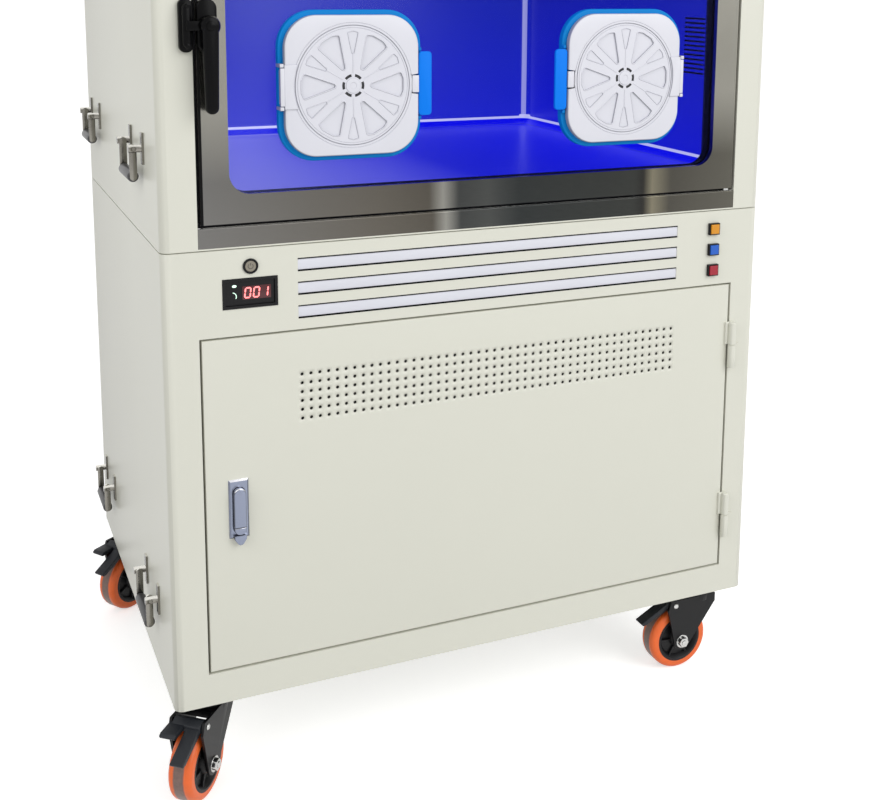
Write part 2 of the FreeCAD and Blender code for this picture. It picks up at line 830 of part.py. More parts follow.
def hatch_door():
    """White hatch with its knuckle and hinge plate, recessed for the vent disc; left hand."""
    y1 = front + ring_front - 0.5
    y0 = y1 - hatch_sheet
    plate = facing_prism(-hatch_x, hatch_z, hatch_half, hatch_half, y0, y1, hatch_radius)
    axis_x = -hatch_x - hatch_axis_out
    axis_y = front + hatch_axis_front
    low = hatch_z - knuckle_half
    high = hatch_z + knuckle_half
    knuckle = rod(knuckle_radius, V(axis_x, axis_y, low), V(0, 0, 1), high - low)
    strap = block(axis_x, -hatch_x - disc_radius + 18, y0 - 2.2, y0, low, high)
    neck = block(axis_x, -hatch_x - hatch_half + 2, axis_y - 3.9, axis_y + 1.5, low, high)
    solid = fused([plate, knuckle, strap, neck])
    solid = solid.cut(rod(disc_radius + running_gap, V(-hatch_x, y0 - 3, hatch_z), V(0, 1, 0),
                          3 + disc_sheet + running_gap))
    solid = solid.cut(rod(hatch_pin_radius + bore_clearance, V(axis_x, axis_y, low),
                          V(0, 0, 1), high - low))
    notch = block(-hatch_x + hatch_half - 8.5, -hatch_x + hatch_half + 1, y0 - 1, y1 + 1,
                  hatch_z - catch_half - 1, hatch_z + catch_half + 1)
    vents = []
    turn = 360.0 / vent_count
    for step in range(vent_count):
        vents.append(wedge(vent_inner, vent_outer, vent_half_angle - 4, (step + 0.5) * turn, y0, y1))
    hub = rod(hatch_hub_radius, V(-hatch_x, y0 + 1.0, hatch_z), V(0, 1, 0), disc_sheet)
    return fused([solid.cut([notch] + vents), hub])


def wedge(inner, outer, half_angle, turn, y0, y1):
    """Sector between two radii about the left hatch's centre."""
    def place(radius, angle):
        a = math.radians(angle)
        return V(-hatch_x + radius * math.cos(a), y0, hatch_z + radius * math.sin(a))

    low = turn - half_angle
    high = turn + half_angle
    wire = Part.Wire([
        Part.Arc(place(outer, low), place(outer, turn), place(outer, high)).toShape(),
        Part.LineSegment(place(outer, high), place(inner, high)).toShape(),
        Part.LineSegment(place(inner, high), place(inner, low)).toShape(),
        Part.LineSegment(place(inner, low), place(outer, low)).toShape(),
    ])
    return Part.Face(wire).extrude(V(0, y1 - y0, 0))


def vent_disc():
    """Turning disc with six vent windows and six finger ribs between them; left hand."""
    y1 = front + ring_front - 0.5 - hatch_sheet + disc_sheet
    y0 = y1 - disc_sheet
    disc = rod(disc_radius, V(-hatch_x, y0, hatch_z), V(0, 1, 0), disc_sheet)
    windows = []
    ribs = []
    turn = 360.0 / vent_count
    for step in range(vent_count):
        windows.append(wedge(vent_inner, vent_outer, vent_half_angle, step * turn, y0, y1))
        ribs.append(wedge(vent_inner + 8, vent_outer, rib_half_angle, (step + 0.5) * turn,
                          y0 - 0.8, y0))
    bore = rod(hatch_hub_radius + bore_clearance, V(-hatch_x, y0, hatch_z), V(0, 1, 0), disc_sheet)
    return fused([disc] + ribs).cut(windows + [bore])


def hatch_tab():
    """Sprung finger tab on its pin, with the catch that sits in the hatch's notch; left hand."""
    tab_x = -hatch_x + ring_half
    y0 = front - 8.0
    half = tab_height / 2
    plate = facing_prism(tab_x + tab_width / 2 + 0.4, hatch_z, tab_width / 2, half, y0,
                         y0 + 4.0, 5.0)
    pin_y = front + tab_axis_front
    eye = rod(2.6, V(tab_x + tab_axis_out, pin_y, hatch_z - half), V(0, 0, 1), tab_height)
    catch = block(-hatch_x + hatch_half - 7.6, tab_x + 4, y0 - 2.0, y0 + 2.6,
                  hatch_z - catch_half, hatch_z + catch_half)
    bore = rod(tab_pin_radius + bore_clearance, V(tab_x + tab_axis_out, pin_y, hatch_z - half),
               V(0, 0, 1), tab_height)
    return fused([plate, eye, catch]).cut(bore)


def latch_keeper():
    half = keeper_width / 2
    low = latch_z - keeper_height / 2
    high = latch_z + keeper_height / 2
    base = block(keeper_x - half, keeper_x + half - 0.5, front - keeper_base, front, low, high)
    post = block(keeper_x - half, keeper_x + half - 8, front - keeper_proud,
                 front - keeper_base, low + 4, high - 4)
    return fused([base, post])


def latch_plate():
    plate = facing_prism(latch_x, latch_z, latch_plate_width / 2 - 1, latch_plate_height / 2,
                         front - latch_plate_sheet, front, 3)
    boss = rod(latch_boss_radius, V(latch_x, front - latch_boss_front, latch_z), V(0, 1, 0),
               latch_boss_front - latch_plate_sheet)
    pin_y = front - latch_lever_front - 0.4
    pin = rod(latch_pin_radius, V(latch_x, pin_y, latch_z), V(0, 1, 0), 16.0)
    cap = rod(latch_pin_radius + 2, V(latch_x, pin_y - 2, latch_z), V(0, 1, 0), 2.0)
    return fused([plate, boss, pin, cap])


def latch_lever():
    """Tapered pull lever with a round boss and a tongue that reaches over the keeper."""
    y0 = front - latch_lever_front
    y1 = front - latch_boss_front - 0.4
    top = latch_lever_width / 2
    tip = top - 3.5
    blade = side_profile([(latch_x - top, latch_z), (latch_x - tip, latch_z - latch_lever_reach),
                          (latch_x + tip, latch_z - latch_lever_reach), (latch_x + top, latch_z)],
                         y0 + 4, y1 - 3)
    blade = blade.makeFillet(4.0, [edge for edge in blade.Edges
                                   if abs(edge.BoundBox.ZMax - latch_z + latch_lever_reach) < 0.01
                                   and edge.BoundBox.YLength > 1])
    boss = rod(latch_boss_radius + 1, V(latch_x, y0, latch_z), V(0, 1, 0), y1 - y0)
    tongue = block(keeper_x - 3, latch_x, y1 - 4.5, y1, latch_z - 6, latch_z + 6)
    bore = rod(latch_pin_radius + bore_clearance, V(latch_x, y0, latch_z), V(0, 1, 0), y1 - y0)
    return fused([blade, boss, tongue]).cut(bore)


def handle_mount(y, z):
    """Wall plate and round post at one end of a folding handle; left side."""
    wall = -side
    half = handle_plate_width / 2
    plate = block(wall - handle_plate_sheet, wall, y - half, y + half,
                  z - handle_plate_height / 2, z + handle_plate_height / 2)
    post = rod(handle_post_radius, V(wall, y, z), V(-1, 0, 0), handle_post_length)
    bore = rod(handle_pin_radius + bore_clearance,
               V(wall - handle_out, y - handle_post_radius, z), V(0, 1, 0),
               2 * handle_post_radius)
    return fused([plate, post]).cut(bore)


def handle_bail(y, z):
    """Two flat arms with pins, and the round grip between them; left side."""
    x = -side - handle_out
    low = z - handle_drop
    half = handle_arm_width / 2
    arm_out = handle_span / 2 - handle_post_radius - handle_arm_gap
    pieces = []
    for way in (-1, 1):
        near = y + way * (arm_out - handle_arm_sheet)
        far = y + way * arm_out
        pieces.append(block(x - half, x + half, min(near, far), max(near, far), low, z))
        pieces.append(rod(half, V(x, near, z), V(0, way, 0), handle_arm_sheet))
        pieces.append(rod(handle_pin_radius, V(x, near, z), V(0, way, 0),
                          handle_arm_sheet + handle_arm_gap + 2 * handle_post_radius - 1))
    grip_half = arm_out - handle_arm_sheet
    pieces.append(rod(grip_radius, V(x, y - grip_half, low), V(0, 1, 0), 2 * grip_half))
    return fused(pieces)


def caster_plate():
    plate_low = caster_height - top_plate_sheet
    plate = block(-top_plate_half_x, top_plate_half_x, -top_plate_half_y, top_plate_half_y,
                  plate_low, caster_height)
    cap_low = crown_high + running_gap
    cap = rod(crown_radius - 6, V(0, 0, cap_low), V(0, 0, 1), plate_low - cap_low)
    pin_low = crown_low - 6
    pin = rod(kingpin_radius, V(0, 0, pin_low), V(0, 0, 1), cap_low - pin_low)
    nut = rod(kingpin_radius + 4, V(0, 0, pin_low), V(0, 0, 1), 6 - running_gap)
    return fused([plate, cap, pin, nut])


def caster_fork():
    """Round crown, two tapered legs with round feet, axle with nuts and the pedal's pin."""
    crown = rod(crown_radius, V(0, 0, crown_low), V(0, 0, 1), crown_high - crown_low)
    outside = leg_inside + leg_sheet
    parts = [crown]
    foot_x = leg_foot_radius * math.cos(math.radians(35))
    foot_z = leg_foot_radius * math.sin(math.radians(35))
    for y in (-outside, leg_inside):
        foot_start = V(caster_trail - foot_x, y, wheel_radius - foot_z)
        foot_end = V(caster_trail + leg_foot_radius, y, wheel_radius)
        lowest = V(caster_trail + foot_z, y, wheel_radius - foot_x)
        corners = [V(pedal_out + 14, y, crown_low - 6), V(pedal_out + 8, y, crown_high - 4),
                   V(-crown_radius + 4, y, crown_high - 4), V(-crown_radius + 4, y, crown_low - 4)]
        edges = [Part.Arc(foot_start, lowest, foot_end).toShape()]
        path = [foot_end] + corners + [foot_start]
        for start, end in zip(path, path[1:]):
            edges.append(Part.LineSegment(start, end).toShape())
        parts.append(Part.Face(Part.Wire(edges)).extrude(V(0, leg_sheet, 0)))
    parts.append(rod(nut_radius, V(caster_trail, -outside - 5, wheel_radius), V(0, 1, 0), 5))
    parts.append(rod(nut_radius, V(caster_trail, outside, wheel_radius), V(0, 1, 0), 5))
    parts.append(rod(axle_radius, V(caster_trail, -outside, wheel_radius), V(0, 1, 0),
                     2 * outside))
    parts.append(rod(pedal_pin_radius, V(pedal_out, -outside - 1, pedal_z), V(0, 1, 0),
                     2 * outside + 2))
    parts.append(block(-10, 34, -leg_inside - 1, leg_inside + 1, crown_low, crown_high - 4))
    bore = rod(kingpin_radius + bore_clearance, V(0, 0, crown_low), V(0, 0, 1), crown_sheet)
    return fused(parts).cut(bore)


def caster_wheel():
    """Tread and hub in one solid, turned about the axle."""
    shoulder = tyre_half / 3
    bore = axle_radius + bore_clearance
    half_profile = [(bore, hub_half), (hub_boss_radius, hub_half), (hub_radius, tyre_half - 3),
                    (hub_radius, tyre_half), (wheel_radius - shoulder, tyre_half),
                    (wheel_radius, tyre_half - shoulder)]
    other_half = [(radius, -y) for radius, y in reversed(half_profile)]
    wire = outline([V(caster_trail + radius, y, wheel_radius)
                    for radius, y in half_profile + other_half])
    return Part.Face(wire).revolve(V(caster_trail, 0, wheel_radius), V(0, 1, 0), 360)


def caster_pedal():
    """Brake pedal between the fork's legs: a short raised pad and a long sloping one."""
    half = leg_inside - 2 * running_gap - 1
    x = pedal_out
    z = pedal_z
    upper = side_profile([(x - 7, z - 5), (x + 8, z - 6), (x + 30, z - 4), (x + 30, z + 5),
                          (x + 2, z + 10), (x - 7, z + 6)], -half, half)
    lower = side_profile([(x + 26, z - 5), (pedal_reach, z - 27), (pedal_reach + 4, z - 22),
                          (x + 30, z + 2)], -half - 4, half + 4)
    bore = rod(pedal_pin_radius + bore_clearance, V(x, -half, z), V(0, 1, 0), 2 * half)
    return fused([upper, lower]).cut(bore)


def oxygen_compressor():
    """Compressor on its foot plate with rubber feet: motor between two finned heads."""
    floor = caster_height + sheet
    plate_low = floor + compressor_foot
    plate = block(compressor_x - compressor_half_x, compressor_x + compressor_half_x,
                  compressor_y - compressor_half_y, compressor_y + compressor_half_y,
                  plate_low, plate_low + 4)
    parts = [plate]
    for sx in (-1, 1):
        for sy in (-1, 1):
            foot_x = compressor_x + sx * (compressor_half_x - 15)
            foot_y = compressor_y + sy * (compressor_half_y - 15)
            parts.append(rod(10, V(foot_x, foot_y, floor), V(0, 0, 1), compressor_foot))
    parts.append(rod(motor_radius, V(compressor_x - motor_half, compressor_y,
                                     plate_low + motor_radius + 2), V(1, 0, 0), 2 * motor_half))
    head_top = plate_low + 2 * motor_radius + 26
    for sx in (-1, 1):
        head_x = compressor_x + sx * (motor_half + 8)
        parts.append(block(head_x - 20, head_x + 20, compressor_y - 34, compressor_y + 34,
                           plate_low + 4, head_top))
        for fin in range(fin_count):
            z = head_top - 44 + fin * fin_pitch
            parts.append(block(head_x - 26, head_x + 26, compressor_y - 40, compressor_y + 40,
                               z, z + 4))
    return fused(parts)


def sieve_beds():
    """Two sieve canisters in a foot bracket, joined by the valve block on top."""
    floor = caster_height + sheet
    half = sieve_pitch / 2 + sieve_radius + 9
    parts = [block(sieve_x - sieve_radius - 7, sieve_x + sieve_radius + 7, compressor_y - half,
                   compressor_y + half, floor, floor + 6)]
    top = floor + 6 + sieve_height
    for way in (-1, 1):
        y = compressor_y + way * sieve_pitch / 2
        parts.append(rod(sieve_radius, V(sieve_x, y, floor + 6), V(0, 0, 1), sieve_height))
        parts.append(rod(sieve_radius + 5, V(sieve_x, y, top), V(0, 0, 1), 14))
    parts.append(block(sieve_x - 22, sieve_x + 22, compressor_y - sieve_pitch / 2 - 12,
                       compressor_y + sieve_pitch / 2 + 12, top + 14, top + 46))
    return fused(parts)


def rear_ports():
    """Mains inlet and oxygen outlet nipple on the lower rear cover."""
    y0 = back + sheet
    z = caster_height + port_rise
    inlet = facing_prism(-port_x, z, inlet_half_x, inlet_half_z, y0, y0 + 4, 3)
    inlet = inlet.cut(block(-port_x - inlet_half_x + 10, -port_x + inlet_half_x - 10, y0,
                            y0 + 4, z - inlet_half_z + 6, z + inlet_half_z - 6))
    base = rod(nipple_radius + 7, V(port_x, y0, z), V(0, 1, 0), 3)
    nipple = rod(nipple_radius, V(port_x, y0 + 3, z), V(0, 1, 0), nipple_length)
    return [inlet, fused([base, nipple])]


save("lower_shell", lower_shell())
save("bay_shelf", bay_shelf())
save("louvre_bars", louvre_bars())
save("display_module", display_module())
save("button_bodies", button_bodies())
save("lower_hinges", lower_hinges())
save("upper_shell", upper_shell())
save("back_panels", [back_panel(caster_height, lower_top), back_panel(seam_height, body_top)])
save("control_screen", control_screen())
save("door_sill", door_sill())
save("chamber_liner", chamber_liner())
save("chamber_hinge_pins", chamber_hinge_pins())
save("chamber_lamp", chamber_lamp())
save("fan_housing", fan_housing())
save("latch_keeper", latch_keeper())
save("oxygen_unit", [oxygen_compressor(), sieve_beds()])
save("rear_ports", rear_ports())

save("power_button", power_button())
for colour, centre in zip(("amber", "blue", "red"), slot_centres):
    save(colour + "_button", key_button(centre))

save("lower_door_panel", lower_door_panel())
save("lock_plate", lock_plate())
save("lock_spindle", lock_spindle())
save("lock_lever", lock_lever())

save("chamber_door_frame", chamber_door_frame())
save("door_pane", door_pane())
save("door_gasket", door_gasket())
save("hatch_rings", [hatch_ring(), mirrored_x(hatch_ring())])
save("latch_plate", latch_plate())
save("latch_lever", latch_lever())
save("hatch_left", hatch_door())
save("hatch_right", mirrored_x(hatch_door()))
save("vent_disc_left", vent_disc())
save("vent_disc_right", mirrored_x(vent_disc()))
save("hatch_tab_left", hatch_tab())
save("hatch_tab_right", mirrored_x(hatch_tab()))
save("fan_rotor", fan_rotor())

mounts = []
for level, height in handle_heights.items():
    for place, depth in zip(("front", "rear"), handle_depths):
        middle_y = front + depth
        bail = handle_bail(middle_y, height)
        save("handle_" + level + "_left_" + place, bail)
        save("handle_" + level + "_right_" + place, mirrored_x(bail))
        for way in (-1, 1):
            mount = handle_mount(middle_y + way * handle_span / 2, height)
            mounts.append(mount)
            mounts.append(mirrored_x(mount))
save("handle_mounts", mounts)

plates = []
for name, (side_x, side_y, heading) in casters.items():
    x = side_x * (side - caster_inset)
    y = (front + back) / 2 + side_y * (body_depth / 2 - caster_inset)
    plates.append(turned(caster_plate(), 0, x, y))
    save("caster_fork_" + name, turned(caster_fork(), heading, x, y))
    save("caster_wheel_" + name, turned(caster_wheel(), heading, x, y))
    save("caster_pedal_" + name, turned(caster_pedal(), heading, x, y))
save("caster_plates", plates)
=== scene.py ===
import json
import math

import bmesh
import bpy
from bpy.props import FloatProperty, FloatVectorProperty, PointerProperty
from mathutils import Matrix, Vector


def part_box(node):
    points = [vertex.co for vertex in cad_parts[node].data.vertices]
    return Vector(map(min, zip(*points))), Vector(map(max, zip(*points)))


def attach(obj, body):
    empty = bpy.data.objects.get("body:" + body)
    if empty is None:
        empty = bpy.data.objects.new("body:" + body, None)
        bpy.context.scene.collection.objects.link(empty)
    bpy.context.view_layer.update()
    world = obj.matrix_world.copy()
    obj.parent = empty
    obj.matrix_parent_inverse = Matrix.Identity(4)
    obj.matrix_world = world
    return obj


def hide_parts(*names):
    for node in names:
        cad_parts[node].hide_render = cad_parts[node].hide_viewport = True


bl_info = {
    "name": "Pet intensive care unit",
    "version": (1, 0, 0),
    "blender": (4, 5, 0),
    "location": "3D View > Sidebar > Care unit",
    "description": "Finishes and fine detail of a wheeled pet intensive care unit",
    "category": "Object",
}

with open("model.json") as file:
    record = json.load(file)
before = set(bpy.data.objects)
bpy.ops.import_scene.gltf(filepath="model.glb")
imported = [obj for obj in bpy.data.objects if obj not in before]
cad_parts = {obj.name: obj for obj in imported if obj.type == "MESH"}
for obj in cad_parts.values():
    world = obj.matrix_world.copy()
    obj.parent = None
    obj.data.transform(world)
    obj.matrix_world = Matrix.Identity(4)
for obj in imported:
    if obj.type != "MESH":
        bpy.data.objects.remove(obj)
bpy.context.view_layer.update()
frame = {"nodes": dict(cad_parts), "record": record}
joints = {joint["name"]: joint for joint in frame["record"]["behaviour"]["joints"]}
MM = 0.001
# Front and rear faces of the cabinets.
FRONT, BACK = [corner.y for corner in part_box("upper_shell")]


def colour(red, green, blue):
    """A colour as it looks on a screen, 0 to 255, turned into light values."""
    values = []
    for value in (red, green, blue):
        share = value / 255
        values.append(share / 12.92 if share <= 0.04045 else ((share + 0.055) / 1.055) ** 2.4)
    return values


def tinted(tone, factor):
    """A colour made lighter or darker."""
    return [min(1.0, value * factor) for value in tone]


class UnitColours(bpy.types.PropertyGroup):
    """Colours that a user would change."""

    cream: FloatVectorProperty(name="Cream", description="Powder coat of the cabinets",
                               subtype="COLOR", default=colour(226, 226, 214))
    glow: FloatVectorProperty(name="Glow", description="Blue light inside the chamber",
                              subtype="COLOR", default=colour(14, 24, 225))
    tread: FloatVectorProperty(name="Tread", description="Casters' polyurethane tread",
                               subtype="COLOR", default=colour(238, 106, 42))
    port_ring: FloatVectorProperty(name="Port ring", description="Ring behind each hatch",
                                   subtype="COLOR", default=colour(0, 134, 214))
    finger_tab: FloatVectorProperty(name="Finger tab", description="Sprung tab of each hatch",
                                    subtype="COLOR", default=colour(0, 130, 250))


class UnitSizes(bpy.types.PropertyGroup):
    """Sizes of the fine detail."""

    fold: FloatProperty(name="Fold radius", description="Outer radius of the lower door's folds",
                        subtype="DISTANCE", unit="LENGTH", default=1.6 * MM)
    hole: FloatProperty(name="Punched hole", description="Diameter of the door's round holes",
                        subtype="DISTANCE", unit="LENGTH", default=4.6 * MM)
    hole_pitch: FloatProperty(name="Hole pitch", description="Distance between punched holes",
                              subtype="DISTANCE", unit="LENGTH", default=12.5 * MM)


class Wire:
    """A node's output that can stand in a Python expression."""

    def __init__(self, finish, socket):
        self.finish = finish
        self.socket = socket

    def maths(self, operation, *others):
        return self.finish.maths(operation, self, *others)

    def __add__(self, other):
        return self.maths("ADD", other)

    def __sub__(self, other):
        return self.maths("SUBTRACT", other)

    def __rsub__(self, other):
        return self.finish.maths("SUBTRACT", other, self)

    def __mul__(self, other):
        return self.maths("MULTIPLY", other)

    def __gt__(self, other):
        return self.maths("GREATER_THAN", other)

    def __lt__(self, other):
        return self.maths("LESS_THAN", other)

    def absolute(self):
        return self.maths("ABSOLUTE")

    def larger(self, other):
        return self.maths("MAXIMUM", other)

    def limited(self, limit=1.0):
        """The value, kept between 0 and the limit."""
        return self.maths("MINIMUM", limit).larger(0.0)

    __radd__ = __add__
    __rmul__ = __mul__


# Sockets of a Mix node that mixes colours; other sockets of the node have the same names.
MIX_SHARE = 0
MIX_FIRST = 6
MIX_SECOND = 7
MIX_RESULT = 2


class Finish:
    """A material that is written as expressions."""

    def __init__(self, name):
        self.material = bpy.data.materials.new(name)
        self.material.use_nodes = True
        self.tree = self.material.node_tree
        self.tree.nodes.clear()

    def feed(self, socket, value):
        """Links a wire to a socket, or sets what the socket holds."""
        if isinstance(value, Wire):
            self.tree.links.new(value.socket, socket)
        elif isinstance(value, (int, float)) or socket.type == "VECTOR":
            socket.default_value = value
        else:
            socket.default_value = (*value, 1.0)[:4]

    def node(self, kind, output=0, **values):
        """Adds a node and fills its sockets, which are given by name."""
        node = self.tree.nodes.new(kind)
        for key, value in values.items():
            self.feed(node.inputs[key.replace("_", " ")], value)
        return Wire(self, node.outputs[output])

    def maths(self, operation, *values):
        """Adds a node that works on numbers."""
        node = self.tree.nodes.new("ShaderNodeMath")
        node.operation = operation
        for socket, value in zip(node.inputs, values):
            self.feed(socket, value)
        return Wire(self, node.outputs[0])

    def vector_maths(self, operation, output, *values):
        """Adds a node that works on vectors."""
        node = self.tree.nodes.new("ShaderNodeVectorMath")
        node.operation = operation
        for socket, value in zip(node.inputs, values):
            self.feed(socket, value)
        return Wire(self, node.outputs[output])

    def place(self):
        """The point in the object's own frame, in metres."""
        return self.node("ShaderNodeTexCoord", "Object")

    def normal(self):
        """The direction that the surface faces in the room."""
        return self.node("ShaderNodeNewGeometry", "Normal")

    def parts(self, vector):
        """The X, Y and Z of a vector."""
        node = self.tree.nodes.new("ShaderNodeSeparateXYZ")
        self.feed(node.inputs[0], vector)
        return [Wire(self, socket) for socket in node.outputs]

    def noise(self, scale, detail, stretch=(1, 1, 1)):
        """Soft random pattern from 0 to 1, fixed to the object."""
        place = self.node("ShaderNodeMapping", Vector=self.place(), Scale=stretch)
        return self.node("ShaderNodeTexNoise", Vector=place, Scale=scale, Detail=detail)

    def mix(self, share, first, second):
        """The first colour where the share is 0, the second where it is 1."""
        node = self.tree.nodes.new("ShaderNodeMix")
        node.data_type = "RGBA"
        self.feed(node.inputs[MIX_SHARE], share)
        self.feed(node.inputs[MIX_FIRST], first)
        self.feed(node.inputs[MIX_SECOND], second)
        return Wire(self, node.outputs[MIX_RESULT])

    def ramp(self, share, stops):
        """Colours along a value from 0 to 1, given as (place, colour)."""
        node = self.tree.nodes.new("ShaderNodeValToRGB")
        elements = node.color_ramp.elements
        while len(elements) < len(stops):
            elements.new(0.5)
        for element, (place, shade) in zip(elements, stops):
            element.position = place
            element.color = (*shade, 1.0)
        self.feed(node.inputs["Fac"], share)
        return Wire(self, node.outputs[0])

    def bump(self, height, distance, strength):
        """Normal of a fine relief."""
        return self.node("ShaderNodeBump", Height=height, Distance=distance, Strength=strength)

    def surface(self, **values):
        """Ends the material with its shader and returns it."""
        shader = self.node("ShaderNodeBsdfPrincipled", **values)
        output = self.tree.nodes.new("ShaderNodeOutputMaterial")
        self.tree.links.new(shader.socket, output.inputs["Surface"])
        return self.material


def cream_coat():
    """Powder coat: a faint orange peel, slightly uneven gloss, and painted shade on the sides,
    darker downwards and towards the rear.
    """
    finish = Finish("cream_coat")
    cream = bpy.context.scene.unit_colours.cream
    shade = finish.noise(2.5, 4.0)
    peel = finish.noise(900.0, 2.0)
    tone = finish.mix(shade, tinted(cream, 0.97), tinted(cream, 1.02))
    nx = finish.parts(finish.normal())[0]
    y, z = finish.parts(finish.place())[1:]
    # Painted shade: side faces are darkened towards the bottom and towards the rear.
    side_shade_low = ((0.95 - z) * 0.3).limited(0.26)
    side_shade_rear = ((y + 0.1) * 0.45).larger(0.0)
    on_side = nx.absolute() > 0.6
    tone = finish.mix(on_side * (side_shade_low + side_shade_rear), tone, colour(128, 126, 116))
    return finish.surface(Base_Color=tone, Roughness=shade * 0.12 + 0.30,
                          Normal=finish.bump(peel, 0.00006, 0.5))


# Painted reflection: dark and bright bands that the polished sheet mirrors, from its left end (0)
# to its right (1).
PAINTED_STEEL_REFLECTION = [
    (0.0, colour(104, 103, 101)), (0.3, colour(84, 80, 73)), (0.385, colour(72, 68, 61)),
    (0.41, colour(128, 127, 121)), (0.44, colour(50, 52, 52)), (0.5, colour(60, 62, 61)),
    (0.56, colour(34, 38, 39)), (0.78, colour(44, 46, 44)), (0.8, colour(32, 32, 31)),
    (0.82, colour(116, 111, 94)), (0.86, colour(68, 66, 60)), (1.0, colour(88, 86, 78)),
]


def polished_steel(name, streak, painted_edge_highlight):
    """Mirror-like stainless sheet with a painted reflection: plain at the left, then bands of a
    dark room's reflection, a plain lighter grey higher up, and a painted highlight along the
    sill's top edge.
    """
    finish = Finish(name)
    brush = finish.noise(60.0, 2.0, (1, 40, 40))
    cloud = finish.noise(1.0, 2.0, streak)
    blot = finish.noise(5.0, 3.0)
    x, _, z = finish.parts(finish.place())
    bands_per_metre = 1.19
    ramp = finish.ramp(x * bands_per_metre + 0.5 + (cloud - 0.5) * 0.05, PAINTED_STEEL_REFLECTION)
    # Painted reflection: above about 0.87 m it turns to a plain, lighter grey.
    upper_reflection_share = ((z - 0.87) * 9.0).limited(0.85)
    tone = finish.mix(upper_reflection_share, ramp,
                      finish.mix(blot, colour(134, 132, 124), colour(170, 168, 158)))
    base = finish.mix(brush * 0.1, tone, colour(150, 148, 144))
    # Painted highlight: a bright line along the sill's top edge, where the function's last
    # argument is 1.
    sill_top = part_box("door_sill")[1].z
    sill_highlight = (z > sill_top - 0.0009) * (z < sill_top + 0.0005)
    base = finish.mix(sill_highlight * painted_edge_highlight, base, colour(232, 232, 230))
    return finish.surface(Base_Color=base, Metallic=1.0, Roughness=cloud * 0.14 + 0.13,
                          Normal=finish.bump(brush, 0.00004, 0.4))


def lit_tub():
    """Stainless tub with the chamber's blue light painted into its colour and glow: a painted
    white highlight line over a painted deep blue reflection band in each cove.
    """
    finish = Finish("lit_tub")
    signed = finish.parts(finish.normal())
    nx, ny, nz = [part.absolute() for part in signed]
    x, y, z = finish.parts(finish.place())
    low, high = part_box("chamber_liner")
    middle = (low + high) / 2
    outward = signed[0] * (x - middle.x) + signed[1] * (y - middle.y) + signed[2] * (z - middle.z)
    # Painted light: the walls change tone with height, and the floor is painted pale at the left
    # and deep blue towards the right.
    rise = ((z - low.z) * 3.0).limited()
    from_left = ((x + 0.34) * 2.9).limited()
    from_middle = (x * 3.0).limited()
    cloud = finish.noise(3.0, 3.0, (1, 1, 3))
    wall = finish.mix(rise, colour(22, 28, 206), colour(26, 42, 160))
    wall = finish.mix(cloud * 0.3, wall, colour(44, 62, 205))
    side_wall = finish.mix(rise, colour(18, 20, 215), colour(20, 27, 150))
    wall = finish.mix((nx > 0.95) * 0.75, wall, side_wall)
    ground = finish.mix(from_left, colour(140, 140, 222), colour(26, 30, 190))
    ground = finish.mix(from_middle, ground, colour(8, 12, 214))
    wall = finish.mix(nz > 0.97, wall, ground)
    # Painted highlight and reflection in the coves: a white line, a deep blue band under it, and a
    # pale band where the floor meets the coves at the left.
    sloped = nx.larger(ny).larger(nz) < 0.985
    low_cove = nz > 0.06
    upright_cove = (nz < 0.06) * (nx > 0.3) * (nx < 0.75)
    line = (low_cove * (nz < 0.42)).larger(upright_cove * 0.55) * sloped
    deep = low_cove * (nz > 0.42) * (nz < 0.93) * sloped
    foot = (nz > 0.93) * (nz < 0.985) * (x < 0.1) * 0.6
    tone = finish.mix(foot, wall, colour(190, 190, 248))
    tone = finish.mix(deep, finish.mix(line, tone, colour(226, 228, 255)), colour(3, 2, 240))
    tone = finish.mix(0.12, tone, bpy.context.scene.unit_colours.glow)
    # Painted shade: the tub's outer faces and its front 4 mm are painted almost black.
    outside = (y < low.y + 0.004).larger(outward > 0.0)
    tone = finish.mix(outside, tone, (0.003, 0.003, 0.004))
    brush = finish.noise(50.0, 2.0, (1, 30, 30))
    # The painted blue light also glows from the tub itself, though the tub is no lamp.
    return finish.surface(Base_Color=finish.mix(0.55, tone, (0.0, 0.0, 0.02)), Metallic=0.2,
                          Roughness=brush * 0.12 + 0.24, Emission_Color=tone,
                          Emission_Strength=0.62)


def clear_pane():
    """Clear pane with a faint, bluish painted reflection of the room, stronger at the left."""
    finish = Finish("clear_pane")
    painted_reflection = finish.noise(2.2, 3.0)
    x = finish.parts(finish.place())[0]
    # The painted reflection is stronger at the left of the pane.
    left = ((x + 0.12) * -3.0).limited()
    return finish.surface(Base_Color=finish.mix(painted_reflection, colour(60, 70, 200), colour(150, 160, 225)),
                          Alpha=(painted_reflection * 0.10 - 0.02).larger(0.006) * (left * 3.0 + 0.3),
                          Roughness=0.05)


def moulded(name, tone, rough, grain=0.00003, scale=700.0, **more):
    """Moulded plastic: a fine grain and a slightly uneven sheen."""
    finish = Finish(name)
    cloud = finish.noise(9.0, 3.0)
    fine = finish.noise(scale, 2.0)
    return finish.surface(Base_Color=finish.mix(cloud, tinted(tone, 0.94), tinted(tone, 1.04)),
                          Roughness=cloud * 0.08 + rough,
                          Normal=finish.bump(fine, grain, 0.5), **more)


def lit(name, tone, rough, glow, strength):
    """Moulded plastic that glows."""
    return moulded(name, tone, rough, Emission_Color=glow, Emission_Strength=strength)


